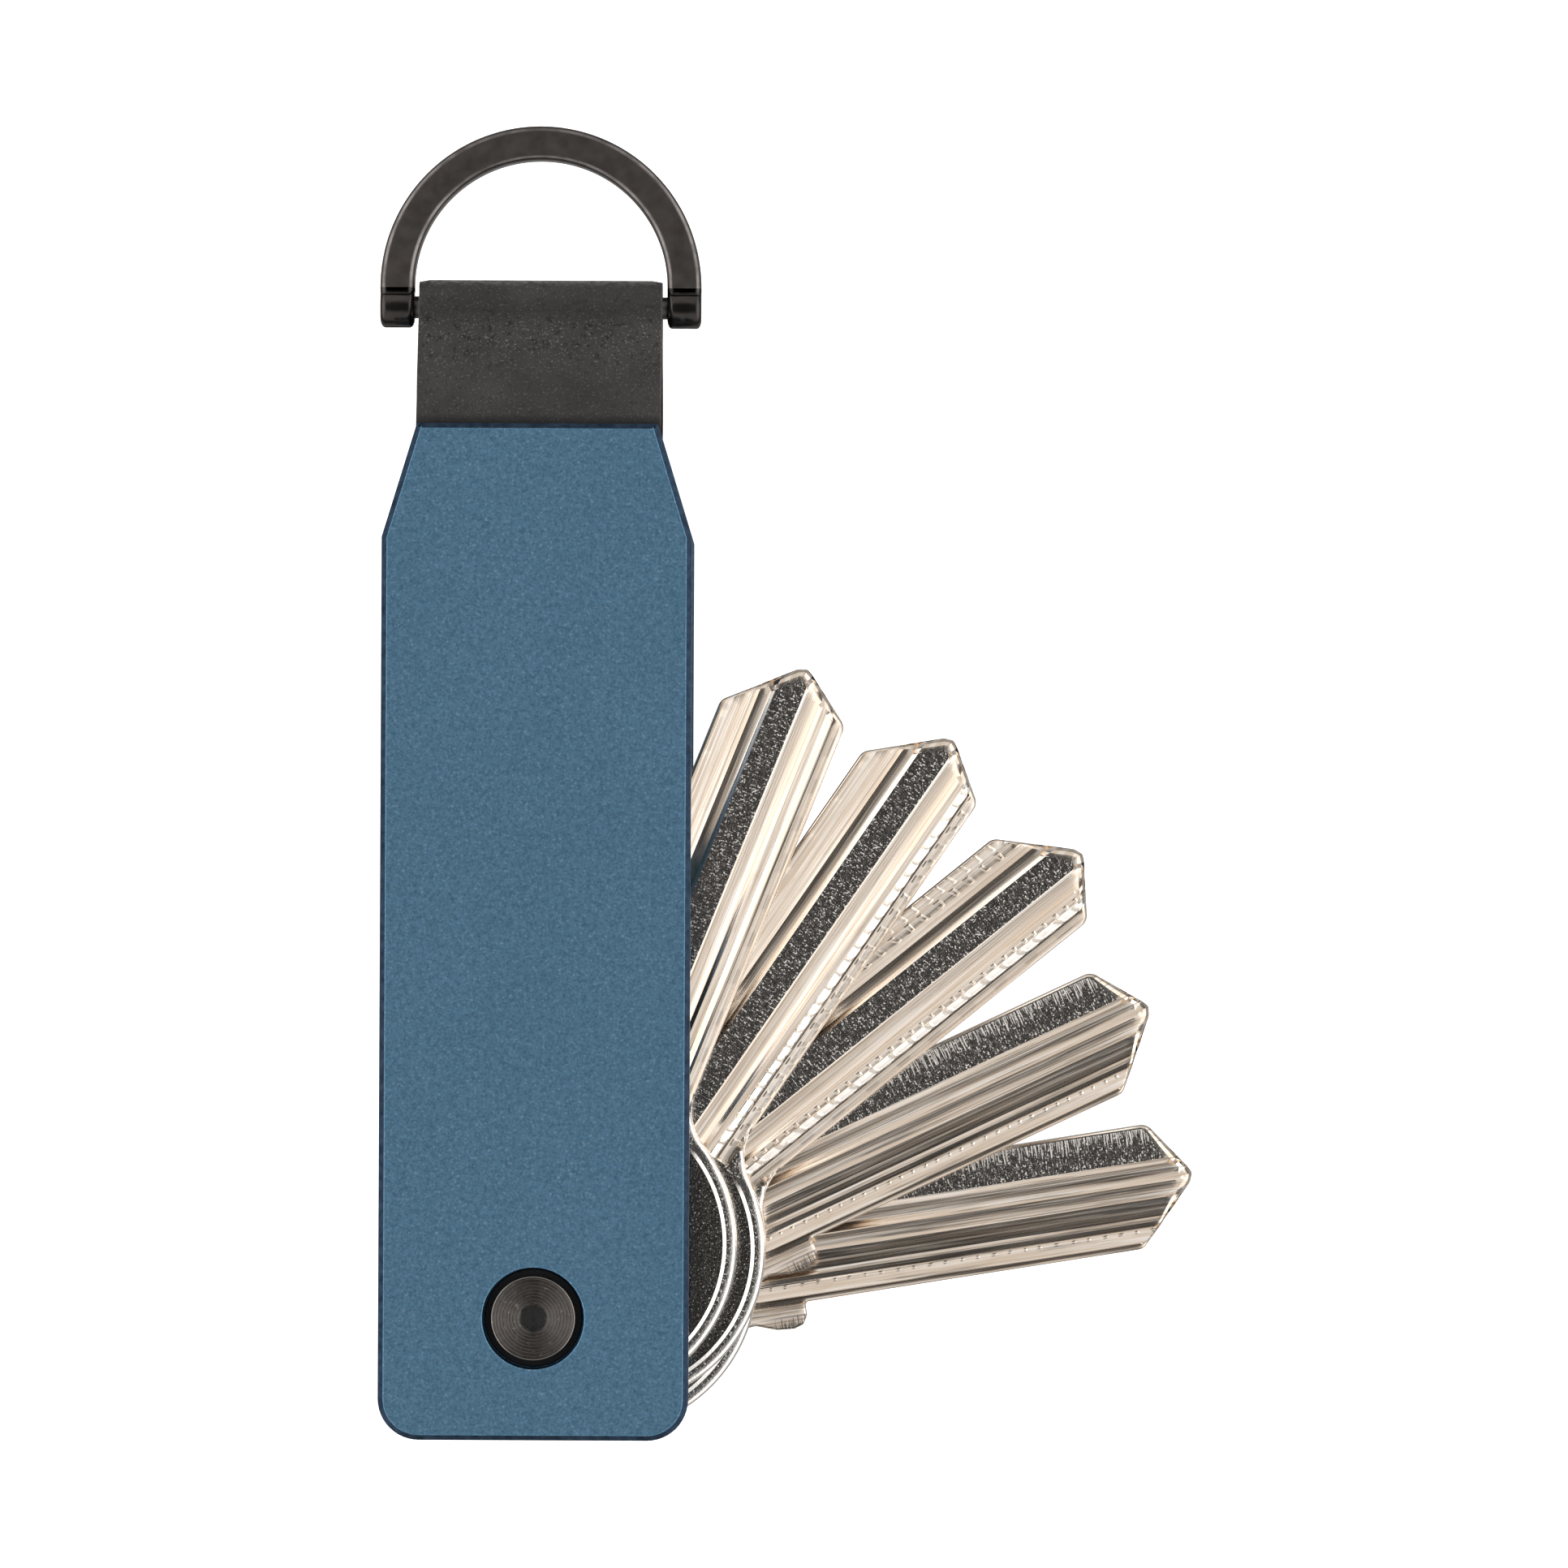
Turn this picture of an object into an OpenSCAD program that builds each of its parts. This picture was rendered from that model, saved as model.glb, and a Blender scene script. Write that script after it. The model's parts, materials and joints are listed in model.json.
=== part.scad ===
// Key organiser: two anodised plates, a pivot post that carries five keys,
// and a leather strap that holds a D-ring. It lies on its rear plate:
// +Z is the front plate's normal, +Y runs from the pivot towards the D-ring.

/* [Plates] */
// Length of each plate
plate_len = 67.8; // [66:0.1:72]
// Width of each plate
plate_w = 20.7; // [20:0.1:24]
// Thickness of each plate
plate_t = 2.0; // [1.8:0.1:2.6]
// Width of the top edge, where the strap leaves
plate_top_w = 16.05; // [14:0.05:18]
// Length of the taper at the top end
taper_len = 7.6; // [6:0.1:9]
// Radius of the two bottom corners
corner_r = 2.75; // [1:0.05:5]
// Chamfer around the outer face
edge_chamfer = 0.38; // [0.1:0.02:0.6]
// Distance from the bottom edge to the pivot
pivot_from_end = 8.15; // [7.8:0.05:9]

/* [Pivot] */
// Diameter of the post that the keys turn on
post_d = 4.0; // [3.6:0.1:4.0]
// Diameter of the screw and post heads
head_d = 5.65; // [5:0.05:6]
// Diameter of the recess around each head
recess_d = 6.75; // [6.3:0.05:7.5]
// Depth of the recess around each head
recess_depth = 1.3; // [1.1:0.05:1.4]
// Width across the flats of the hex socket
socket_af = 1.5; // [1.3:0.1:2]
// Thickness of one friction washer
washer_t = 0.3; // [0.2:0.05:0.5]
// Diameter of one friction washer
washer_d = 14.5; // [14:0.1:15]

/* [Keys] */
// Thickness of a key
key_t = 2.0; // [1.8:0.1:2.2]
// Distance from the hole's centre to the tip
key_len = 46.8; // [40:0.1:48]
// Width of the blade
blade_w = 8.4; // [7.5:0.1:9]
// Radius of the bow's two round sides
bow_r = 10.65; // [10.5:0.05:11]
// Diameter of the hole in the bow
key_hole_d = 9.0; // [8.9:0.1:9.2]

/* [Strap] */
// Width of the leather strap
strap_w = 16.45; // [14:0.05:16.6]
// Thickness of the leather
strap_t = 1.05; // [0.8:0.05:1.1]
// Distance from the plates' top edge to the pin
pin_rise = 8.1; // [7.8:0.1:10]

/* [D-ring] */
// Outer radius of the ring
ring_r = 10.83; // [10.7:0.05:12]
// Width of the ring's bar, seen from the front
ring_bar = 2.3; // [1.8:0.05:2.3]
// Thickness of the ring's bar, front to back
ring_t = 2.5; // [2:0.1:2.6]
// Diameter of the pin through the strap
pin_d = 1.5; // [1.4:0.1:1.6]

/* [Hidden] */
$fn = 96;
eps = 0.01;

// Direction of each key at rest, from +X towards +Y
key_angles = [68.05, 55.55, 39.1, 25.25, 9.15];
// Where each key's oversize hole hangs on the post, along and across the key
key_shifts = [[0.2, -0.15], [0.9, -0.75], [1.3, 1.35], [-0.55, 0.7], [-1.4, 1.75]];
// Keys four and five are fitted the other way up
key_flipped = [false, false, false, true, true];
key_count = len(key_angles);
washer_count = key_count + 1;

// Heights of the stack, measured from the rear plate's outer face
spring_h = 0.6;
bay_h = key_count * key_t + washer_count * washer_t + spring_h + 0.2;
front_z = plate_t + bay_h;
total_t = front_z + plate_t;
mid_z = total_t / 2;
stack_pitch = key_t + washer_t;
washer_top_z = front_z - spring_h - 0.2;

// Places along the plates, from the middle of the rear plate
top_y = plate_len / 2;
pivot_y = pivot_from_end - plate_len / 2;
pin_y = top_y + pin_rise;

// Clearances between turning parts
turn_gap = 0.05;
slide_gap = 0.1;

post_r = post_d / 2;
thread_r = 1.25;
head_t = 1.1;
screw_washer_t = 0.25;
screw_head_t = 0.9;
screw_len = 6;
web_t = plate_t - recess_depth;

fold_r = pin_d / 2 + strap_t + turn_gap;
fold_steps = 36;
leg_len = 9.2;
strap_end_y = top_y - leg_len;
half_bay = bay_h / 2;
anchor_y = top_y - 5;
anchor_x = 4.6;
standoff_r = 1.6;
strap_screw_r = 1.0;
strap_head_r = 1.9;
standoff_seat = 1.2;
spacer_inset = 0.6;

ring_rise = 1.38;
ring_in_x = ring_r - ring_bar;
lug_r = 1.37;
ring_edge = 0.3;

bow_x = 5.4;
bow_high = 0.45;
bow_low = -0.75;
rim_w = 0.85;
rim_depth = 0.2;
blade_start = 14;
recess_end = 15;
groove_start = 16.5;
shoulder_end = 19.4;

// ---------- Plates ----------

module plate_outline(inset) {
    hw = plate_w / 2 - inset;
    htop = plate_top_w / 2 - inset * 0.86;
    low = -plate_len / 2 + inset;
    high = plate_len / 2 - inset;
    r = corner_r - inset;
    hull() {
        translate([-hw + r, low + r])
            circle(r);
        translate([hw - r, low + r])
            circle(r);
        polygon([
            [-hw, low + r], [hw, low + r],
            [hw, plate_len / 2 - taper_len], [htop, high],
            [-htop, high], [-hw, plate_len / 2 - taper_len]
        ]);
    }
}

// A plate with its inner face on z = 0 and its chamfered outer face up
module plate_blank() {
    hull() {
        linear_extrude(plate_t - edge_chamfer)
            plate_outline(0);
        linear_extrude(plate_t)
            plate_outline(edge_chamfer);
    }
}

module head_recess() {
    translate([0, pivot_y, web_t])
        cylinder(d = recess_d, h = plate_t);
    translate([0, pivot_y, -1])
        cylinder(r = post_r + turn_gap, h = plate_t + 2);
}

module front_plate() {
    color([0.31, 0.44, 0.54])
    translate([0, 0, front_z])
    difference() {
        plate_blank();
        head_recess();
        for (x = [-anchor_x, anchor_x])
            translate([x, anchor_y, -1])
                cylinder(r = standoff_r, h = 1 + standoff_seat);
    }
}

module rear_plate() {
    color([0.31, 0.44, 0.54])
    translate([0, 0, plate_t])
    mirror([0, 0, 1])
    difference() {
        plate_blank();
        head_recess();
        for (x = [-anchor_x, anchor_x]) {
            translate([x, anchor_y, -1])
                cylinder(r = strap_screw_r + slide_gap, h = plate_t + 2);
            translate([x, anchor_y, web_t])
                cylinder(r = strap_head_r + slide_gap, h = plate_t);
        }
    }
}

// ---------- Pivot ----------

module hex_socket(depth) {
    cylinder(d = socket_af / cos(30), h = depth + 1, $fn = 6);
}

// The post's head sits in the rear recess and its barrel ends inside the front plate
module pivot_post() {
    barrel_top = front_z + web_t - 0.2;
    color([0.2, 0.19, 0.18])
    translate([0, pivot_y, 0])
    difference() {
        union() {
            translate([0, 0, recess_depth - head_t])
                cylinder(d = head_d, h = head_t);
            translate([0, 0, recess_depth - eps])
                cylinder(r = post_r, h = barrel_top - recess_depth + eps);
        }
        translate([0, 0, barrel_top - screw_len - 1])
            cylinder(r = thread_r, h = screw_len + 2);
        translate([0, 0, recess_depth - head_t - 1])
            hex_socket(0.7);
    }
}

module pivot_screw() {
    head_z = front_z + web_t + screw_washer_t;
    color([0.25, 0.24, 0.23])
    translate([0, pivot_y, head_z])
    difference() {
        union() {
            cylinder(d = head_d, h = screw_head_t);
            translate([0, 0, -screw_len])
                cylinder(r = thread_r, h = screw_len + eps);
        }
        translate([0, 0, screw_head_t - 0.7])
            rotate(20)
            hex_socket(0.7);
    }
}

module flat_ring(outer_r, inner_r, h) {
    difference() {
        cylinder(r = outer_r, h = h);
        translate([0, 0, -1])
            cylinder(r = inner_r, h = h + 2);
    }
}

module screw_washer() {
    color([0.08, 0.08, 0.08])
    translate([0, pivot_y, front_z + web_t])
        flat_ring(recess_d / 2 - slide_gap, thread_r + slide_gap, screw_washer_t);
}

// A coned spring that keeps the stack of keys pressed together
module disc_spring() {
    inner = post_r + slide_gap;
    outer = 4.6;
    band = 0.35;
    color([0.62, 0.62, 0.63])
    translate([0, pivot_y, washer_top_z])
    rotate_extrude()
        polygon([
            [outer, 0], [outer, band],
            [inner, spring_h + 0.2], [inner, spring_h + 0.2 - band]
        ]);
}

// Washer 1 lies in front of key 1 and washer 6 behind key 5
module friction_washer(n) {
    color([0.12, 0.12, 0.12])
    translate([0, pivot_y, washer_top_z - washer_t - (n - 1) * stack_pitch])
        flat_ring(washer_d / 2, post_r + slide_gap, washer_t);
}

// ---------- Keys ----------

// A key lies along +X with the centre of its hole at the origin
module bow_outline(r) {
    for (side = [bow_low, bow_high])
        translate([bow_x, side])
            circle(r);
    translate([bow_x - r, bow_low])
        square([2 * r, bow_high - bow_low]);
}

// The smooth side, where a concave fillet joins the bow to the blade
module neck_outline() {
    fillet_r = 3.5;
    drop = blade_w / 2 + fillet_r;
    reach = sqrt(pow(bow_r + fillet_r, 2) - pow(drop + bow_low, 2));
    touch = bow_r / (bow_r + fillet_r);
    difference() {
        polygon([
            [bow_x, 0], [bow_x + reach, 0], [bow_x + reach, -blade_w / 2],
            [bow_x + reach * touch, bow_low - (drop + bow_low) * touch]
        ]);
        translate([bow_x + reach, -drop])
            circle(fillet_r);
    }
}

// The shoulder that stops the key in its lock
module shoulder_outline() {
    hw = blade_w / 2;
    polygon([
        [blade_start, 0], [blade_start + 0.5, hw + 1.3], [15.8, hw + 1.1], [17.2, hw + 1.6],
        [18.4, hw + 1.7], [19.1, hw + 1.45], [shoulder_end, hw + 0.9], [shoulder_end, 0]
    ]);
}

module blade_outline() {
    hw = blade_w / 2;
    polygon([
        [blade_start, -hw], [key_len - 2.6, -hw],
        [key_len - 0.25, -0.85], [key_len, -0.35], [key_len - 0.2, 0.15],
        [key_len - 4.1, hw], [blade_start, hw]
    ]);
}

// Cross-section of the milled blade: across the key, then through its thickness
module blade_section() {
    hw = blade_w / 2;
    ht = key_t / 2;
    polygon([
        [-hw, -ht], [-1.55, -ht], [-1.35, -0.35], [-0.4, -0.35],
        [-0.2, -0.75], [0.75, -0.75], [0.95, -0.3], [1.5, -0.3],
        [1.75, -0.45], [2.6, -0.5], [2.8, -0.85], [3.8, -0.65], [hw, -0.45],
        [hw, 0.4], [2.2, 0.75], [1.9, 0.35], [1.25, 0.45], [1.1, ht],
        [-0.8, ht], [-0.95, 0.3], [-2.2, 0.48], [-2.6, 0.38], [-3.9, 0.45], [-hw, 0.3]
    ]);
}

module key_shape() {
    union() {
        difference() {
            linear_extrude(key_t, center = true) {
                bow_outline(bow_r);
                neck_outline();
                shoulder_outline();
                translate([blade_start, -blade_w / 2])
                    square([groove_start - blade_start + eps, blade_w]);
            }
            for (side = [-1, 1])
                translate([0, 0, side * key_t / 2])
                linear_extrude(2 * rim_depth, center = true)
                    intersection() {
                        bow_outline(bow_r - rim_w);
                        square([2 * recess_end, 4 * bow_r], center = true);
                    }
            cylinder(d = key_hole_d, h = 2 * key_t, center = true);
        }
        intersection() {
            translate([0, 0, -key_t])
            linear_extrude(2 * key_t)
                blade_outline();
            translate([groove_start, 0, 0])
            rotate([90, 0, 90])
            linear_extrude(key_len)
                blade_section();
        }
    }
}

module key(n) {
    i = n - 1;
    key_z = washer_top_z - washer_t - i * stack_pitch - key_t / 2;
    color([0.78, 0.75, 0.7])
    translate([0, pivot_y, key_z])
    rotate(key_angles[i])
    translate([key_shifts[i][0], key_shifts[i][1], 0])
    rotate([key_flipped[i] ? 180 : 0, 0, 0])
        key_shape();
}

// ---------- Strap ----------

// Direction of the point where a line from p touches the circle of radius r
function touch_angle(p, r) = atan2(p[1], p[0]) - acos(r / norm(p));

// Side view of a loop around the pin, which opens towards the plates.
// The first axis runs along the strap from the pin, the second through it.
module loop_side(r, half_h, length) {
    edge = [-pin_rise, half_h];
    turn = touch_angle(edge, r);
    polygon(concat(
        [[-length, -half_h], [edge[0], -half_h]],
        [for (i = [0 : fold_steps]) let (a = turn * (2 * i / fold_steps - 1)) [r * cos(a), r * sin(a)]],
        [edge, [-length, half_h]]
    ));
}

module strap_anchor_holes(r) {
    for (x = [-anchor_x, anchor_x])
        translate([x, anchor_y, -1])
            cylinder(r = r, h = total_t + 2);
}

module strap() {
    length = pin_rise + leg_len;
    color([0.2, 0.19, 0.18])
    difference() {
        translate([strap_w / 2, pin_y, mid_z])
        rotate([90, 0, -90])
        mirror([1, 0, 0])
        linear_extrude(strap_w)
            difference() {
                loop_side(fold_r, half_bay, length);
                loop_side(fold_r - strap_t, half_bay - strap_t, length + 1);
            }
        strap_anchor_holes(standoff_r);
    }
}

module strap_spacer() {
    w = plate_top_w - 2 * spacer_inset;
    h = bay_h - 2 * strap_t;
    color([0.1, 0.1, 0.1])
    difference() {
        translate([-w / 2, strap_end_y, mid_z - h / 2])
            cube([w, leg_len - spacer_inset, h]);
        strap_anchor_holes(standoff_r);
    }
}

// Threaded standoffs, pressed into the inside of the front plate
module strap_standoffs() {
    low_z = plate_t + 0.3;
    high_z = front_z + standoff_seat;
    color([0.6, 0.6, 0.6])
    for (x = [-anchor_x, anchor_x])
        translate([x, anchor_y, low_z])
        difference() {
            cylinder(r = standoff_r, h = high_z - low_z);
            translate([0, 0, -1])
                cylinder(r = strap_screw_r, h = 8);
        }
}

module strap_screws() {
    head_h = 1.0;
    color([0.25, 0.24, 0.23])
    for (x = [-anchor_x, anchor_x])
        translate([x, anchor_y, recess_depth - head_h])
        difference() {
            union() {
                cylinder(r = strap_head_r, h = head_h);
                cylinder(r = strap_screw_r, h = 7);
            }
            translate([0, 0, -1])
                cylinder(d = 1.3 / cos(30), h = 1.6, $fn = 6);
        }
}

// ---------- D-ring ----------

// Cross-section of the bar, with its four edges cut back
module bar_section() {
    e = ring_edge;
    t = ring_t / 2;
    polygon([
        [0, -t + e], [e, -t], [ring_bar - e, -t], [ring_bar, -t + e],
        [ring_bar, t - e], [ring_bar - e, t], [e, t], [0, t - e]
    ]);
}

module ring_lug() {
    rotate([0, 90, 0])
        cylinder(r = lug_r, h = ring_bar);
}

module d_ring() {
    color([0.2, 0.19, 0.18])
    translate([0, pin_y, mid_z])
    difference() {
        union() {
            translate([0, ring_rise, 0])
            rotate_extrude(angle = 180)
                translate([ring_in_x, 0])
                bar_section();
            for (side = [0, 1])
                mirror([side, 0, 0])
                translate([ring_in_x, 0, 0]) {
                    rotate([-90, 0, 0])
                        linear_extrude(ring_rise + eps)
                        bar_section();
                    ring_lug();
                }
        }
        rotate([0, 90, 0])
            cylinder(d = pin_d, h = 3 * ring_r, center = true);
        // Hollow above each lug, front and back
        for (z = [-1, 1])
            translate([0, lug_r, z * (ring_t / 2 + 0.2)])
            rotate([0, 90, 0])
                cylinder(r = 0.5, h = 3 * ring_r, center = true);
    }
}

module ring_pin() {
    length = 2 * ring_r - 0.2;
    color([0.2, 0.19, 0.18])
    translate([0, pin_y, mid_z])
    rotate([0, 90, 0])
    difference() {
        cylinder(d = pin_d, h = length, center = true);
        translate([0, 0, length / 2])
            cube([0.35, 2 * pin_d, 0.8], center = true);
    }
}

front_plate();
rear_plate();
pivot_post();
pivot_screw();
screw_washer();
disc_spring();
for (n = [1 : washer_count])
    friction_washer(n);
for (n = [1 : key_count])
    key(n);
strap();
strap_spacer();
strap_standoffs();
strap_screws();
d_ring();
ring_pin();
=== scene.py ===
import json
import math

import bmesh
import bpy
import numpy as np
from mathutils.geometry import delaunay_2d_cdt
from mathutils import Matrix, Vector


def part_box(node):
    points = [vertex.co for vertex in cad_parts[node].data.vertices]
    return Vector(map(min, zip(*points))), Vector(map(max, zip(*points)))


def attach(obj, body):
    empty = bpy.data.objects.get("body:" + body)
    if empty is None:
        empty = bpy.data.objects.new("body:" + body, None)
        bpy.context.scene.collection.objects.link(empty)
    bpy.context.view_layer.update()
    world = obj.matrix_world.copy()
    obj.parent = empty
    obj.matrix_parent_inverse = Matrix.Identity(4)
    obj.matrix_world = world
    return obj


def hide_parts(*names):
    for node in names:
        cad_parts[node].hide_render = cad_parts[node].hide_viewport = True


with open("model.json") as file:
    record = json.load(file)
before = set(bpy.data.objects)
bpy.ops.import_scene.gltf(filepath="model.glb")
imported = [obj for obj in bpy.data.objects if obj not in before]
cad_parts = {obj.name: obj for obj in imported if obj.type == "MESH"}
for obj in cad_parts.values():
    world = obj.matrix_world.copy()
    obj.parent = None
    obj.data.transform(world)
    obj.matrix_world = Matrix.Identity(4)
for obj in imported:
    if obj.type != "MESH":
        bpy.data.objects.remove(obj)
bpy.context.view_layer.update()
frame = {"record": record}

# ---------------------------------------------------------------------------
# Rear plate. 2 mm aluminium, milled to shape, chamfered around its outer face,
# bead blasted and anodised blue. It has a round recess for the post's head and
# two small ones for the strap screws.
MM = 0.001


def box_mm(node):
    low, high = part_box(node)
    return np.array(low) / MM, np.array(high) / MM


def circle_points(centre, radius, count=72, start=0.0):
    turn = np.arange(count) * 2 * math.pi / count + start
    return np.c_[centre[0] + radius * np.cos(turn), centre[1] + radius * np.sin(turn)]


def round_corners(corners, radii, steps=8):
    """A closed outline whose corners are replaced by arcs that touch both sides."""
    corners = [np.array(c, float) for c in corners]
    points = []
    for i, corner in enumerate(corners):
        radius = radii[i]
        if radius <= 0:
            points.append(corner)
            continue
        back = corners[i - 1] - corner
        ahead = corners[(i + 1) % len(corners)] - corner
        back /= np.linalg.norm(back)
        ahead /= np.linalg.norm(ahead)
        half = math.acos(np.clip(back @ ahead, -1, 1)) / 2
        middle = back + ahead
        middle /= np.linalg.norm(middle)
        centre = corner + middle * radius / math.sin(half)
        first = corner + back * radius / math.tan(half) - centre
        last = corner + ahead * radius / math.tan(half) - centre
        a0 = math.atan2(first[1], first[0])
        sweep = math.atan2(last[1], last[0]) - a0
        sweep = (sweep + math.pi) % (2 * math.pi) - math.pi
        for k in range(steps + 1):
            a = a0 + sweep * k / steps
            points.append(centre + radius * np.array([math.cos(a), math.sin(a)]))
    return np.array(points)


def outward(loop):
    """Unit normals that point out of a counter-clockwise outline."""
    side = np.roll(loop, -1, axis=0) - np.roll(loop, 1, axis=0)
    side /= np.linalg.norm(side, axis=1)[:, None]
    return np.c_[side[:, 1], -side[:, 0]]


def inset(loop, amount):
    return loop - outward(loop) * np.reshape(amount, (-1, 1))


def inside(points, loop):
    """Which points lie inside a closed outline."""
    x, y = points[:, 0][:, None], points[:, 1][:, None]
    x0, y0 = loop[:, 0][None], loop[:, 1][None]
    x1, y1 = np.roll(loop[:, 0], -1)[None], np.roll(loop[:, 1], -1)[None]
    rise = np.where(np.abs(y1 - y0) < 1e-12, 1e-12, y1 - y0)
    crossing = ((y0 > y) != (y1 > y)) & (x < x0 + (y - y0) * (x1 - x0) / rise)
    return crossing.sum(axis=1) % 2 == 1


def fill_between(loops, extra_points=None, extra_lines=()):
    """Triangles inside the first outline and outside the others. Returns points and triangles."""
    points, lines = [], []
    for loop in loops:
        n = len(points)
        points += [tuple(p) for p in loop]
        lines += [(n + k, n + (k + 1) % len(loop)) for k in range(len(loop))]
    if extra_points is not None:
        n = len(points)
        points += [tuple(p) for p in extra_points]
        lines += [(n + a, n + b) for a, b in extra_lines]
    made = delaunay_2d_cdt(points, lines, [], 0, 1e-6)
    out = np.array([tuple(p) for p in made[0]])
    triangles = np.array([t for t in made[2] if len(t) == 3])
    centres = out[triangles].mean(axis=1)
    keep = inside(centres, loops[0])
    for hole in loops[1:]:
        keep &= ~inside(centres, hole)
    source = [ids[0] if ids else -1 for ids in made[3]]
    return out, triangles[keep], source


def stacked_solid(outer, holes=(), blind=()):
    """A closed solid from stacks of (outline, height). Holes go through and blind holes stop."""
    verts, faces = [], []

    def add(loop, z):
        start = len(verts)
        verts.extend((p[0], p[1], z) for p in loop)
        return start

    def wall(stack):
        starts = [add(loop, z) for loop, z in stack]
        n = len(stack[0][0])
        for a, b in zip(starts, starts[1:]):
            faces.extend((a + k, a + (k + 1) % n, b + (k + 1) % n, b + k) for k in range(n))

    def cap(loops, z):
        points, triangles, _ = fill_between(loops)
        start = add(points, z)
        faces.extend(tuple(start + k for k in t) for t in triangles)

    wall(outer)
    for stack in list(holes) + list(blind):
        wall(stack)
    bottom, top = outer[0][1], outer[-1][1]
    from_below = [b[0][0] for b in blind if b[0][1] == bottom]
    from_above = [b[0][0] for b in blind if b[0][1] != bottom]
    cap([outer[0][0]] + [h[0][0] for h in holes] + from_below, bottom)
    cap([outer[-1][0]] + [h[-1][0] for h in holes] + from_above, top)
    for stack in blind:
        cap([stack[-1][0]], stack[-1][1])
    return np.array(verts, float), faces


def lathe(profile, count=96):
    """A ring-shaped solid around Z from a closed profile of (radius, height)."""
    profile = np.array(profile, float)
    turn = np.arange(count) * 2 * math.pi / count
    verts = [(r * math.cos(a), r * math.sin(a), z) for a in turn for r, z in profile]
    n = len(profile)
    faces = []
    for i in range(count):
        j = (i + 1) % count
        for k in range(n):
            m = (k + 1) % n
            faces.append((i * n + k, j * n + k, j * n + m, i * n + m))
    return np.array(verts, float), faces


def moved(solid, along=0.0, up=0.0):
    """The same solid, shifted in Y and Z."""
    verts, faces = solid
    return verts + (0.0, along, up), faces


def turned_over(solid, level):
    """The same solid upside down, with what was at height 0 at the level."""
    verts, faces = solid
    return verts * (1, 1, -1) + (0.0, 0.0, level), faces


def joined(*solids):
    """Several solids as one."""
    all_verts = np.vstack([verts for verts, _ in solids])
    all_faces = []
    start = 0
    for verts, faces in solids:
        all_faces += [tuple(k + start for k in f) for f in faces]
        start += len(verts)
    return all_verts, all_faces


def make_mesh(name, solid, sharp_angle=35.0):
    verts, faces = solid
    mesh = bpy.data.meshes.new(name)
    mesh.from_pydata([tuple(v) for v in np.asarray(verts) * MM], [], faces)
    work = bmesh.new()
    work.from_mesh(mesh)
    bmesh.ops.remove_doubles(work, verts=work.verts, dist=1e-7)
    bmesh.ops.dissolve_degenerate(work, edges=work.edges, dist=1e-8)
    bmesh.ops.recalc_face_normals(work, faces=work.faces)
    work.to_mesh(mesh)
    work.free()
    mesh.shade_smooth()
    mesh.set_sharp_from_angle(angle=math.radians(sharp_angle))
    return mesh


def place(name, mesh, nodes, material, body="plates"):
    """Puts a finished mesh in the scene in place of its CAD nodes."""
    piece = bpy.data.objects.new(name, mesh)
    bpy.context.scene.collection.objects.link(piece)
    mesh.materials.clear()
    mesh.materials.append(material)
    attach(piece, body)
    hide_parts(*nodes)
    return piece


class Nodes:
    """A shader node tree, with short names for the nodes that are used most."""

    def __init__(self, tree):
        self.tree = tree

    def node(self, kind, settings=None, **inputs):
        made = self.tree.nodes.new("ShaderNode" + kind)
        for key, value in (settings or {}).items():
            setattr(made, key, value)
        for key, value in inputs.items():
            self.put(made.inputs[key.replace("_", " ")], value)
        return made

    def put(self, socket, value):
        if isinstance(value, bpy.types.NodeSocket):
            self.tree.links.new(value, socket)
        else:
            socket.default_value = value

    def math(self, operation, a, b=0.0, c=0.0):
        made = self.node("Math", {"operation": operation})
        for socket, value in zip(made.inputs, (a, b, c)):
            self.put(socket, value)
        return made.outputs[0]

    def ramp(self, value, low, high, out_low=0.0, out_high=1.0, kind="LINEAR"):
        made = self.node("MapRange", {"interpolation_type": kind}, Value=value,
                         From_Min=low, From_Max=high, To_Min=out_low, To_Max=out_high)
        return made.outputs[0]


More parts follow.
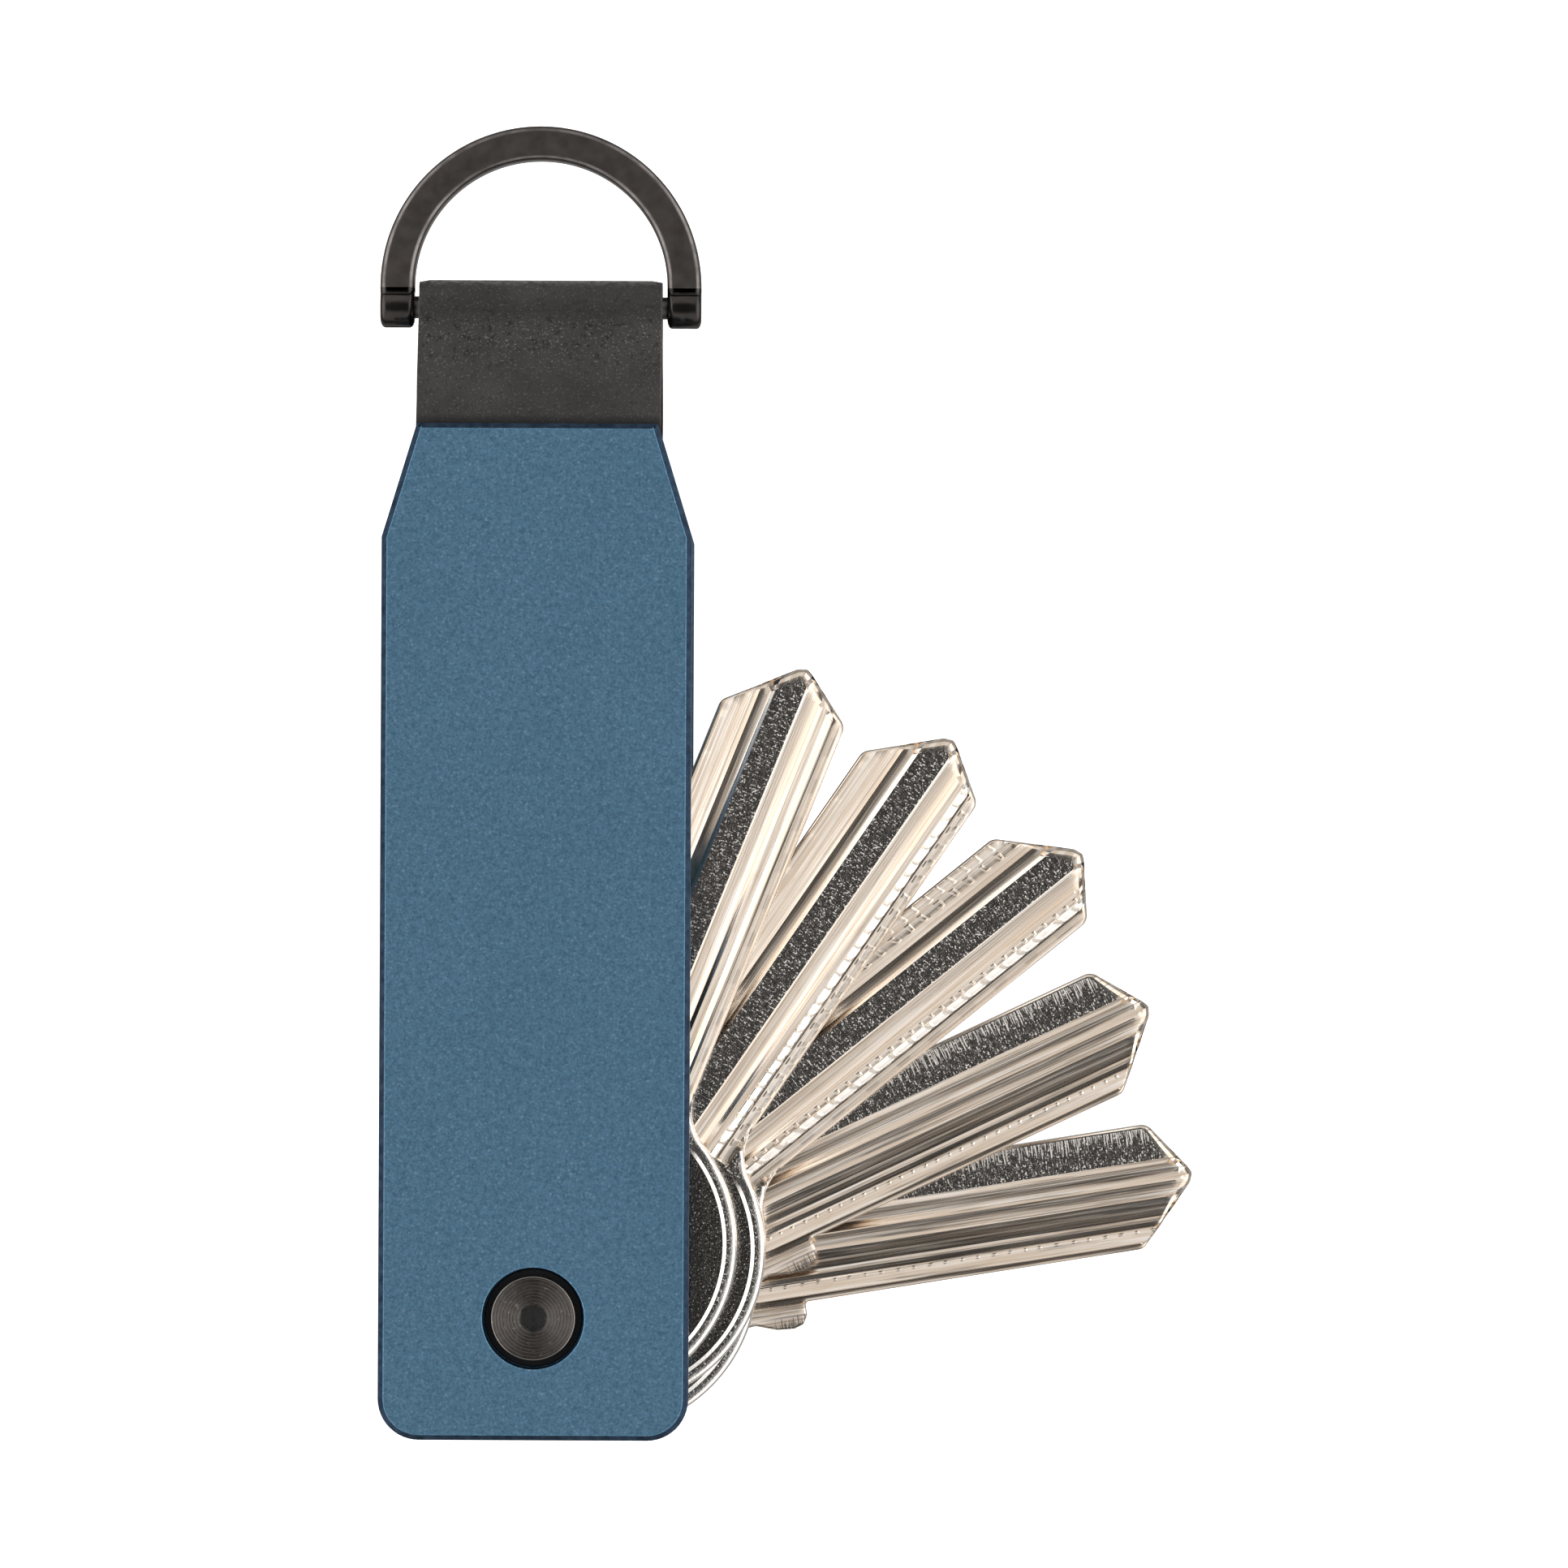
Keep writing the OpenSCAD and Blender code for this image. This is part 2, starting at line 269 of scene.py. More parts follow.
class Shader(Nodes):
    """The nodes of one material, around its surface node."""

    # Nearly all of a noise lies between these two values
    noise_low = 0.3
    noise_high = 0.7

    def __init__(self, name, roughness, metallic=0.0, base=(0.8, 0.8, 0.8)):
        self.material = bpy.data.materials.new(name)
        self.material.use_nodes = True
        super().__init__(self.material.node_tree)
        self.bsdf = self.tree.nodes["Principled BSDF"]
        self.bsdf.inputs["Roughness"].default_value = roughness
        self.bsdf.inputs["Metallic"].default_value = metallic
        self.bsdf.inputs["Base Color"].default_value = (*base, 1)

    def object_coords(self):
        return self.node("TexCoord").outputs["Object"]

    def noise(self, vector, scale, detail=2.0, rough=0.5):
        made = self.node("TexNoise", Vector=vector, Scale=scale, Detail=detail, Roughness=rough)
        return made.outputs["Fac"]

    def mix(self, factor, a, b):
        made = self.node("Mix", {"data_type": "RGBA"})
        self.put(made.inputs[0], factor)
        ends = [socket for socket in made.inputs if socket.type == "RGBA"]
        for socket, value in zip(ends, (a, b)):
            self.put(socket, value if isinstance(value, bpy.types.NodeSocket) else (*value, 1))
        return next(socket for socket in made.outputs if socket.type == "RGBA")

    def bump(self, height, distance, strength=1.0, normal=None):
        made = self.node("Bump", Height=height, Distance=distance, Strength=strength)
        if normal is not None:
            self.put(made.inputs["Normal"], normal)
        return made.outputs[0]

    def colour(self, value):
        self.put(self.bsdf.inputs["Base Color"], value)

    def colour_by(self, noise, a, b):
        self.colour(self.mix(self.ramp(noise, self.noise_low, self.noise_high), a, b))

    def roughness(self, value):
        self.put(self.bsdf.inputs["Roughness"], value)

    def roughness_by(self, noise, a, b):
        self.roughness(self.ramp(noise, self.noise_low, self.noise_high, a, b))

    def normal(self, value):
        self.put(self.bsdf.inputs["Normal"], value)

    def grained(self, grain, colours, roughness, depth, strength):
        """Lets one grain set the colour, the sheen and the relief. Returns the material."""
        self.colour_by(grain, *colours)
        self.roughness_by(grain, *roughness)
        self.normal(self.bump(grain, depth, strength))
        return self.material


def blasted_blue():
    """Bead-blasted, blue anodised aluminium: a fine sparkle of tiny pits."""
    s = Shader("blasted_blue_anodising", 0.46, 0.8)
    coords = s.object_coords()
    pits = s.noise(coords, 5800.0, 2.0, 0.6)
    grain = s.noise(coords, 2600.0, 2.0)
    clouds = s.noise(coords, 90.0, 3.0)
    base = s.mix(s.ramp(clouds, 0.3, 0.7), (0.104, 0.23, 0.355), (0.112, 0.243, 0.375))
    base = s.mix(s.ramp(pits, 0.5, 0.34, 0.0, 0.5), base, (0.045, 0.115, 0.19))
    base = s.mix(s.ramp(pits, 0.6, 0.72, 0.0, 0.5), base, (0.33, 0.48, 0.6))
    s.colour(base)
    s.roughness_by(grain, 0.4, 0.52)
    fine = s.bump(pits, 0.00004, 0.55)
    s.normal(s.bump(grain, 0.00004, 0.35, fine))
    return s.material


def cut_blue():
    """The edge that is cut after blasting: smoother, and anodised darker."""
    s = Shader("cut_blue_edge", 0.3, 0.9)
    grain = s.noise(s.object_coords(), 1700.0, 3.0)
    return s.grained(grain, [(0.04, 0.075, 0.13), (0.06, 0.105, 0.175)], (0.24, 0.4), 0.00002, 0.3)


def cut_edges(mesh, material):
    """Gives the chamfer and the side walls of a plate the finish of the cut edge."""
    mesh.materials.append(material)
    for face in mesh.polygons:
        if abs(face.normal.z) < 0.9:
            face.material_index = 1


plate_low, plate_high = box_mm("rear_plate")
post_low, post_high = box_mm("pivot_post")
pivot_y = (post_low[1] + post_high[1]) / 2
screws_low, screws_high = box_mm("strap_screws")
plate_half_w = plate_high[0]
plate_thick = plate_high[2] - plate_low[2]
plate_edge = 0.38
plate_corner = 2.75
plate_taper = 7.6
plate_top_half = 8.025
recess_r = 3.375
recess_floor = 1.3
recess_edge = 0.1
post_hole_r = 2.05
strap_head_r = 2.0
strap_hole_r = 1.1
anchor_x = (screws_high[0] - screws_low[0]) / 2 - 1.9
anchor_y = (screws_high[1] + screws_low[1]) / 2


def plate_outline():
    low, high = plate_low[1], plate_high[1]
    corners = [
        (-plate_half_w, low), (plate_half_w, low), (plate_half_w, high - plate_taper),
        (plate_top_half, high), (-plate_top_half, high), (-plate_half_w, high - plate_taper),
    ]
    return round_corners(corners, [plate_corner, plate_corner, 0.5, 0.2, 0.2, 0.5], 12)


def drilled(centre, steps, count=72):
    """The wall of a hole, inner end first, from (radius, depth) steps below the outer face."""
    return [(circle_points(centre, r, count), -depth) for r, depth in reversed(steps)]


def plate_solid(holes, seats=()):
    """A plate whose chamfered outer face is up, with that face at height 0."""
    outline = plate_outline()
    t, e = plate_thick, plate_edge
    soft = 0.03
    outer = [
        (inset(outline, soft), -t), (outline, -t + soft), (outline, -e - soft),
        (inset(outline, 0.4 * soft), -e), (inset(outline, e - soft), -0.8 * soft),
        (inset(outline, e + soft), 0.0),
    ]
    return stacked_solid(outer, holes, seats)


def head_hole():
    edge = recess_edge
    steps = [(recess_r + edge, 0), (recess_r + 0.3 * edge, 0.3 * edge), (recess_r, edge)]
    steps += [(recess_r, recess_floor - 0.03), (recess_r - 0.03, recess_floor)]
    steps += [(post_hole_r, recess_floor), (post_hole_r, plate_thick)]
    return drilled((0, pivot_y), steps, 96)


anodised = blasted_blue()
cut_edge = cut_blue()
screw_holes = []
for side in (-1, 1):
    steps = [(strap_head_r + 0.08, 0), (strap_head_r, 0.08), (strap_head_r, recess_floor)]
    steps += [(strap_hole_r, recess_floor), (strap_hole_r, plate_thick)]
    screw_holes.append(drilled((side * anchor_x, anchor_y), steps))
rear_solid = turned_over(plate_solid([head_hole()] + screw_holes), plate_low[2])
rear_plate = place("rear_plate_blasted", make_mesh("rear_plate_blasted", rear_solid, 20),
                   ["rear_plate"], anodised)
cut_edges(rear_plate.data, cut_edge)

# ---------------------------------------------------------------------------
# Front plate. The same blasted and anodised aluminium blank, the other way up.
# Two threaded standoffs are pressed into seats on its inner face.
front_high = box_mm("front_plate")[1]
standoff_r = 1.6
seat_depth = 1.2
seats = []
for side in (-1, 1):
    loop = circle_points((side * anchor_x, anchor_y), standoff_r, 40)
    seats.append([(loop, -plate_thick), (loop, -plate_thick + seat_depth)])
front_solid = moved(plate_solid([head_hole()], seats), up=front_high[2])
front_plate = place("front_plate_blasted", make_mesh("front_plate_blasted", front_solid, 20),
                    ["front_plate"], anodised)
cut_edges(front_plate.data, cut_edge)

# ---------------------------------------------------------------------------
# Pivot post. A turned steel barrel with a broad head in the rear recess. The
# keys swing on it, and the pivot screw threads into its front end.
def hexagon(across_flats, turn_deg=0.0, centre=(0, 0)):
    return circle_points(centre, across_flats / 2 / math.cos(math.pi / 6), 6, math.radians(turn_deg))


def turned_head(radius, height, socket, depth, turn_deg, rings, centre, chamfer=0.16):
    """Outline stacks for a screw head whose top face keeps the lathe tool's rings."""
    def hoop(r, z):
        return circle_points(centre, r, 120), z

    stack = [hoop(radius - 0.04, 0.0), hoop(radius, 0.04), hoop(radius, height - chamfer)]
    stack += [hoop(radius - 0.35 * chamfer, height - 0.35 * chamfer)]
    face_r = radius - chamfer
    stack += [hoop(face_r, height)]
    socket_r = socket / 2 / math.cos(math.pi / 6)
    pitch = (face_r - socket_r - 0.1) / rings
    ring_depth = 0.019
    for i in range(rings):
        r = face_r - i * pitch
        stack += [hoop(r - 0.35 * pitch, height), hoop(r - 0.6 * pitch, height - ring_depth)]
        stack += [hoop(r - 0.75 * pitch, height - ring_depth), hoop(r - pitch, height)]
    bore = [(hexagon(socket + 0.1, turn_deg, centre), height)]
    bore += [(hexagon(socket, turn_deg, centre), height - 0.12)]
    bore += [(hexagon(socket, turn_deg, centre), height - depth)]
    bore += [(hexagon(socket * 0.25, turn_deg, centre), height - depth - 0.12)]
    return stack, bore


def black_nickel(name, centre=None):
    """Turned steel under black nickel. Around a centre, the sheen follows the lathe's rings."""
    s = Shader(name, 0.26, 1.0)
    coords = s.object_coords()
    grain = s.noise(coords, 2600.0, 3.0)
    smudge = s.noise(coords, 420.0, 2.0)
    dust = s.noise(coords, 5200.0, 0.0)
    base = s.mix(smudge, (0.175, 0.161, 0.15), (0.224, 0.207, 0.195))
    s.colour(s.mix(s.ramp(dust, 0.79, 0.82), base, (0.35, 0.33, 0.3)))
    s.roughness_by(grain, 0.18, 0.25)
    if centre:
        middle = s.node("VectorMath", {"operation": "SUBTRACT"})
        s.put(middle.inputs[0], coords)
        s.put(middle.inputs[1], (centre[0] * MM, centre[1] * MM, 0.0))
        s.put(s.bsdf.inputs["Tangent"], middle.outputs[0])
        s.bsdf.inputs["Anisotropic"].default_value = 0.9
    s.normal(s.bump(grain, 0.000004, 0.3))
    return s.material


def painted_socket_shade():
    """Painted shade inside a screw's hex socket and along its rim: a very dark, rough finish."""
    s = Shader("socket_painted_shade", 0.6, 0.3)
    grain = s.noise(s.object_coords(), 2400.0, 3.0)
    return s.grained(grain, [(0.02, 0.023, 0.022), (0.045, 0.05, 0.048)], (0.45, 0.7), 0.00002, 0.5)


# Gives the faces in and around each hex socket the painted shade.
def paint_socket_shade(mesh, centres, socket):
    mesh.materials.append(socket_shade)
    for face in mesh.polygons:
        spot = face.center / MM
        if min(math.hypot(spot.x - x, spot.y - y) for x, y in centres) < socket / 2 + 0.03:
            face.material_index = 1


pivot_nickel = black_nickel("black_nickel_turned", (0, pivot_y))
socket_shade = painted_socket_shade()
post_r = 2.0
thread_r = 1.25
head_r = 2.825
head_h = 1.1
thread_len = 7.0
socket_af = 1.5
socket_depth = 0.7
stack, bore = turned_head(head_r, head_h, socket_af, socket_depth, 0.0, 6, (0, pivot_y))
post_head = turned_over(stacked_solid(stack, blind=[bore]), post_low[2] + head_h)
barrel_end = post_high[2]
barrel = [(post_r, post_low[2] + head_h - 0.05), (post_r, barrel_end - 0.15), (post_r - 0.15, barrel_end)]
barrel += [(thread_r + 0.1, barrel_end), (thread_r, barrel_end - 0.1), (thread_r, barrel_end - thread_len)]
barrel += [(0.02, barrel_end - thread_len - 0.6), (0.02, post_low[2] + head_h - 0.05)]
post_solid = joined(post_head, moved(lathe(barrel, 64), pivot_y))
post = place("pivot_post_turned", make_mesh("pivot_post_turned", post_solid), ["pivot_post"],
             pivot_nickel)
paint_socket_shade(post.data, [(0, pivot_y)], socket_af)

# ---------------------------------------------------------------------------
# Friction washers. Six thin discs punched from black nylon, one on each side
# of every key, so that the keys turn without scratching one another.
def node_tree(name, sizes):
    """A geometry node tree with a named input for each size."""
    tree = bpy.data.node_groups.new(name, "GeometryNodeTree")
    tree.interface.new_socket("Geometry", in_out="INPUT", socket_type="NodeSocketGeometry")
    for key, value in sizes.items():
        kind = "NodeSocketInt" if isinstance(value, int) else "NodeSocketFloat"
        kind = "NodeSocketVector" if isinstance(value, tuple) else kind
        kind = "NodeSocketObject" if isinstance(value, bpy.types.Object) else kind
        tree.interface.new_socket(key, in_out="INPUT", socket_type=kind)
    tree.interface.new_socket("Geometry", in_out="OUTPUT", socket_type="NodeSocketGeometry")
    return tree, tree.nodes.new("NodeGroupInput"), tree.nodes.new("NodeGroupOutput")


def wire(tree, kind, links=(), **settings):
    made = tree.nodes.new(kind)
    for key, value in settings.items():
        setattr(made, key, value)
    for socket, source in links:
        if isinstance(source, bpy.types.NodeSocket):
            tree.links.new(source, made.inputs[socket])
        else:
            made.inputs[socket].default_value = source
    return made


def finished_mesh(name, tree, sizes):
    """Runs a geometry node tree once and returns its plain mesh."""
    carrier = bpy.data.objects.new(name, bpy.data.meshes.new(name + "_seed"))
    bpy.context.scene.collection.objects.link(carrier)
    modifier = carrier.modifiers.new("build", "NODES")
    modifier.node_group = tree
    for item in tree.interface.items_tree:
        if item.item_type == "SOCKET" and item.in_out == "INPUT" and item.name in sizes:
            modifier[item.identifier] = sizes[item.name]
    evaluated = carrier.evaluated_get(bpy.context.evaluated_depsgraph_get())
    mesh = bpy.data.meshes.new_from_object(evaluated)
    mesh.name = name
    bpy.data.objects.remove(carrier)
    return mesh


def along_a_line(tree, given, result, shape, material):
    """Ends a tree with real copies of a shape at even steps, in their material."""
    line = wire(tree, "GeometryNodeMeshLine",
                [("Count", given.outputs["Count"]), ("Start Location", given.outputs["First"]),
                 ("Offset", given.outputs["Step"])])
    copies = wire(tree, "GeometryNodeInstanceOnPoints",
                  [("Points", line.outputs["Mesh"]), ("Instance", shape)])
    real = wire(tree, "GeometryNodeRealizeInstances", [("Geometry", copies.outputs["Instances"])])
    painted = wire(tree, "GeometryNodeSetMaterial", [("Geometry", real.outputs[0]), ("Material", material)])
    tree.links.new(painted.outputs[0], result.inputs[0])


def black_nylon():
    """Punched and moulded black nylon, slightly glossy with a fine grain."""
    s = Shader("black_nylon", 0.45, 0.0, (0.009, 0.01, 0.013))
    s.bsdf.inputs["Specular IOR Level"].default_value = 0.28
    coords = s.object_coords()
    grain = s.noise(coords, 1800.0, 3.0)
    s.colour(s.mix(s.noise(coords, 300.0, 2.0), (0.007, 0.008, 0.011), (0.014, 0.0155, 0.019)))
    s.roughness_by(grain, 0.38, 0.55)
    s.normal(s.bump(grain, 0.00002, 0.5))
    return s.material


nylon = black_nylon()
washer_names = ["friction_washer_%d" % n for n in range(1, 7)]
washer_low, washer_high = box_mm(washer_names[-1])
next_low, _ = box_mm(washer_names[-2])
washer_r = (washer_high[0] - washer_low[0]) / 2
washer_bore = 2.1
washer_t = washer_high[2] - washer_low[2]
sizes = {
    "Count": len(washer_names),
    "Outer radius": washer_r * MM,
    "Inner radius": washer_bore * MM,
    "Thickness": washer_t * MM,
    "First": (0.0, pivot_y * MM, (washer_low[2] + washer_t / 2) * MM),
    "Step": (0.0, 0.0, (next_low[2] - washer_low[2]) * MM),
}
tree, given, result = node_tree("washer_stack", sizes)
outer_r, inner_r = given.outputs["Outer radius"], given.outputs["Inner radius"]
width = wire(tree, "ShaderNodeMath", [(0, outer_r), (1, inner_r)], operation="SUBTRACT")
both_radii = wire(tree, "ShaderNodeMath", [(0, outer_r), (1, inner_r)], operation="ADD")
mean_r = wire(tree, "ShaderNodeMath", [(0, both_radii.outputs[0]), (1, 0.5)], operation="MULTIPLY")
path = wire(tree, "GeometryNodeCurvePrimitiveCircle", [("Resolution", 96), ("Radius", mean_r.outputs[0])])
section = wire(tree, "GeometryNodeCurvePrimitiveQuadrilateral",
               [("Width", width.outputs[0]), ("Height", given.outputs["Thickness"])])
eased = wire(tree, "GeometryNodeFilletCurve", [("Curve", section.outputs["Curve"]), ("Radius", 0.08 * MM)])
washer = wire(tree, "GeometryNodeCurveToMesh",
              [("Curve", path.outputs["Curve"]), ("Profile Curve", eased.outputs["Curve"])])
along_a_line(tree, given, result, washer.outputs["Mesh"], nylon)
washers = finished_mesh("friction_washers", tree, sizes)
washers.shade_smooth()
washers.set_sharp_from_angle(angle=math.radians(50))
place("friction_washers", washers, washer_names, nylon)

# ---------------------------------------------------------------------------
# Keys. Five house keys, blanked from nickel-plated brass, with a rolled edge,
# a raised panel in the bow and a milled blade. The last two are turned over.
key_r = 10.65
bow_x = 5.4
bow_high = 0.45
bow_low = -0.75
blade_half = 4.2
key_half_t = 1.0
neck_r = 3.5
key_tip = 46.8
milled_from = 14.6
hole_r = 4.5
key_hang = [(0.2, -0.15), (0.9, -0.75), (1.3, 1.35), (-0.55, 0.7), (-1.4, 1.75)]
key_turned_over = [False, False, False, True, True]

# Height of each face of the blade, against the distance from its middle line
face_a = [
    (-4.26, 1.0), (-4.2, 0.05), (-3.86, 0.11), (-3.4, 0.21), (-3.26, 0.2), (-3.2, 0.18), (-2.82, 0.35),
    (-2.74, 0.29), (-2.34, 0.385), (-2.28, 0.36), (-2.06, 0.27), (-2.0, 0.33), (-1.86, 0.38), (-1.7, 0.45),
    (-1.5, 0.5), (-0.94, 0.62), (-0.88, 0.95),
    (-0.82, 1.0), (1.04, 1.0), (1.28, 0.85), (1.34, 0.46), (1.72, 0.38), (2.02, 0.38), (2.3, 0.49),
    (2.5, 0.53), (2.7, 0.61), (3.4, 0.75), (3.9, 0.91), (4.2, 1.0), (4.26, 0.99), (6.0, 0.6),
]
face_b = [
    (-4.26, 1.0), (-4.2, 1.0), (-1.74, 1.0), (-1.42, 0.87), (-1.36, 0.48), (-0.72, 0.36), (-0.64, 0.38),
    (-0.3, 0.52), (-0.22, 0.56), (-0.14, 0.52), (0.64, 0.425), (0.7, 0.4), (0.9, 0.29), (0.96, 0.3),
    (1.5, 0.39), (1.56, 0.4), (1.76, 0.46), (2.1, 0.47), (2.16, 0.49), (2.4, 0.59), (2.46, 0.6),
    (2.74, 0.6), (2.78, 0.82), (2.84, 0.86), (3.74, 0.53), (3.8, 0.45), (4.2, 0.44), (4.26, 0.96),
    (4.9, 0.82), (6.0, 0.5),
]


def arc(centre, radius, from_deg, to_deg, steps):
    turn = np.radians(np.linspace(from_deg, to_deg, steps))
    return [(centre[0] + radius * math.cos(a), centre[1] + radius * math.sin(a)) for a in turn]


def key_outline():
    """The key seen from its first side, counter-clockwise, tip towards +X."""
    drop = blade_half + neck_r
    reach = math.sqrt((key_r + neck_r) ** 2 - (drop + bow_low) ** 2)
    neck = (bow_x + reach, -drop)
    meet = math.degrees(math.atan2(drop + bow_low, reach))
    bow_starts_deg = 28.0
    smooth = arc((bow_x, bow_high), key_r, bow_starts_deg, 180, 60)
    smooth += arc((bow_x, bow_low), key_r, 180, 360 - meet, 60)
    smooth += arc(neck, neck_r, 180 - meet, 90, 14)[1:]
    corners = [
        ((key_tip - 2.6, -blade_half), 0.9), ((key_tip - 0.3, -0.95), 0.9), ((key_tip, -0.4), 0.3),
        ((key_tip - 0.25, 0.2), 0.6), ((key_tip - 4.1, blade_half), 0.9), ((19.4, blade_half), 0.25),
        ((19.4, 5.1), 0.25), ((19.05, 5.68), 0.25), ((18.4, 5.9), 0.5), ((17.2, 5.8), 1.0),
        ((15.8, 5.3), 0.8),
    ]
    points = round_corners([(x, y) for x, y in smooth] + [c for c, _ in corners],
                           [0] * len(smooth) + [r for _, r in corners], 6)
    return even_steps(points, 0.3)


def even_steps(loop, step):
    """Adds points along the long straight stretches of an outline."""
    out = []
    for a, b in zip(loop, np.roll(loop, -1, axis=0)):
        count = max(1, round(np.linalg.norm(b - a) / step))
        out += [a + (b - a) * k / count for k in range(count)]
    return np.array(out)


def gap_to(points, loop):
    """Distance from each point to the nearest side of an outline."""
    a, b = loop, np.roll(loop, -1, axis=0)
    side = b - a
    best = np.full(len(points), 1e9)
    for start in range(0, len(points), 2000):
        p = points[start:start + 2000, None, :]
        along = np.clip(((p - a) * side).sum(2) / np.maximum((side ** 2).sum(1), 1e-12), 0, 1)
        off = p - (a + along[..., None] * side)
        best[start:start + 2000] = np.sqrt((off ** 2).sum(2)).min(axis=1)
    return best


def ease(value, low, high):
    t = np.clip((value - low) / (high - low), 0, 1)
    return t * t * (3 - 2 * t)


def edge_radius(u):
    """The rolled edge is broad on the bow, fine on the blade and broad at the tip."""
    return 0.48 - 0.22 * ease(u, 13.0, 17.0) + 0.5 * ease(u, 43.5, 45.8)


def bow_depth(u, v):
    """Distance inwards from the bow's own edge, which runs on under the neck."""
    dv = np.maximum(np.maximum(v - bow_high, bow_low - v), 0)
    return key_r - np.hypot(u - bow_x, dv)


rim_inside = (0.74, 0.98)
rim_drop = 0.1
row_slant = 0.35
chatter_depth = 0.016
row_edge = 0.12
key_plan_span = 50


def face_height(u, v, gap, face, rows):
    """Height of one face above the key's middle plane."""
    rise = np.clip((bow_depth(u, v) - rim_inside[0]) / (rim_inside[1] - rim_inside[0]), 0, 1)
    height = key_half_t - rim_drop * (1 - rise) * (1 - ease(u, 13.4, milled_from))
    breaks, levels = zip(*face)
    milled = np.interp(v, breaks, levels)
    for low, high, pitch, _ in rows:
        in_row = ease(v, low, low + row_edge) * (1 - ease(v, high - row_edge, high))
        milled = milled - chatter_depth * in_row * np.abs(np.sin(np.pi * (u / pitch + row_slant * v)))
    cut = ease(u, milled_from, milled_from + 0.12)
    past_blade = v < -blade_half - 0.02
    milled = np.where(past_blade, milled + (levels[1] - milled) * ease(u, 15.8, 17.4), milled)
    height = height + (np.minimum(milled, height) - height) * cut
    radius = edge_radius(u)
    t = np.clip(1 - gap / radius, 0, 1)
    return height - radius * (1 - np.sqrt(1 - t * t))


def key_face(loop, hole, face, rows):
    """Triangles of one face of the key: its points, triangles and heights."""
    rounds = [0.076, 0.293, 0.617, 1.0]
    extra = [inset(loop, edge_radius(loop[:, 0]) * k) for k in rounds]
    for depth in (0.7, rim_inside[0], 0.86, rim_inside[1], 1.02):
        ring = np.array(arc((bow_x, bow_high), key_r - depth, 0, 180, 90)
                        + arc((bow_x, bow_low), key_r - depth, 180, 360, 90))
        extra.append(ring[ring[:, 0] < milled_from + 0.5])
    free = np.vstack(extra)
    gap = gap_to(free, loop)
    wanted = np.concatenate([edge_radius(loop[:, 0]) * k for k in rounds])
    keep = np.ones(len(free), bool)
    keep[:len(wanted)] = gap[:len(wanted)] > wanted * 0.93
    keep[len(wanted):] = gap[len(wanted):] > 0.5
    free = free[keep]
    row_edges = {low + row_edge for low, *_ in rows} | {high - row_edge for _, high, *_ in rows}
    breaks = sorted({v for v, _ in face} | row_edges)
    columns = np.r_[milled_from - 0.02, milled_from + 0.04, milled_from + 0.08, milled_from + 0.12,
                    np.arange(milled_from + 0.4, key_tip, 0.27)]
    grid, lines = [], []
    for v in breaks:
        last = None
        row = np.c_[columns, np.full(len(columns), v)]
        room = gap_to(row, loop) > edge_radius(columns) * 1.12
        room &= inside(row, loop)
        for k in range(len(columns)):
            if room[k]:
                grid.append(row[k])
                if last is not None:
                    lines.append((last + len(free), len(grid) - 1 + len(free)))
                last = len(grid) - 1
            else:
                last = None
    points, triangles, source = fill_between([loop, hole], np.vstack([free, np.array(grid)]), lines)
    gap = gap_to(points, loop)
    gap[:len(loop)] = 0.0
    return points, triangles, face_height(points[:, 0], points[:, 1], gap, face, rows)


def key_mesh(name, rows, materials):
    loop = key_outline()
    hole = circle_points((0, 0), hole_r, 90)
    top = key_face(loop, hole, face_a, rows)
    low = key_face(loop, hole, face_b, rows)
    verts = np.vstack([np.c_[top[0], top[2]], np.c_[low[0], -low[2]]])
    faces = [tuple(t) for t in top[1]]
    faces += [tuple(int(k) + len(top[0]) for k in reversed(t)) for t in low[1]]
    start = 0
    for count in (len(loop), len(hole)):
        for k in range(count):
            a, b = start + k, start + (k + 1) % count
            faces.append((a, a + len(top[0]), b + len(top[0]), b))
        start += count
    mesh = bpy.data.meshes.new(name)
    mesh.from_pydata([tuple(v) for v in verts], [], [tuple(int(k) for k in f) for f in faces])
    work = bmesh.new()
    work.from_mesh(mesh)
    bmesh.ops.recalc_face_normals(work, faces=work.faces)
    work.to_mesh(mesh)
    work.free()
    centres = np.array([p.center for p in mesh.polygons])
    upright = np.array([p.normal for p in mesh.polygons])[:, 2]
    level = np.abs(centres[:, 2])
    full = level > key_half_t - 0.02
    on_blade = (centres[:, 0] > milled_from + 0.02) & (centres[:, 1] > 0.05 - blade_half)
    milled = on_blade & ~full & (np.abs(upright) > 0.2)
    panel = (bow_depth(centres[:, 0], centres[:, 1]) > rim_inside[1] - 0.01) & (level > key_half_t - 0.012)
    panel &= centres[:, 0] < milled_from
    uv = mesh.uv_layers.new(name="key_plan")
    corner = np.array([l.vertex_index for l in mesh.loops])
    uv.data.foreach_set("uv", (verts[corner][:, :2] / key_plan_span + 0.5).astype(np.float32).ravel())
    mesh.materials.clear()
    for material in materials:
        mesh.materials.append(material)
    rolled = np.where(np.abs(upright) < 0.998, 3, 0)
    index = np.where(milled, 1, np.where(panel, 2, rolled)).astype(np.int32)
    mesh.polygons.foreach_set("material_index", index)
    mesh.shade_smooth()
    mesh.set_sharp_from_angle(angle=math.radians(16))
    return mesh


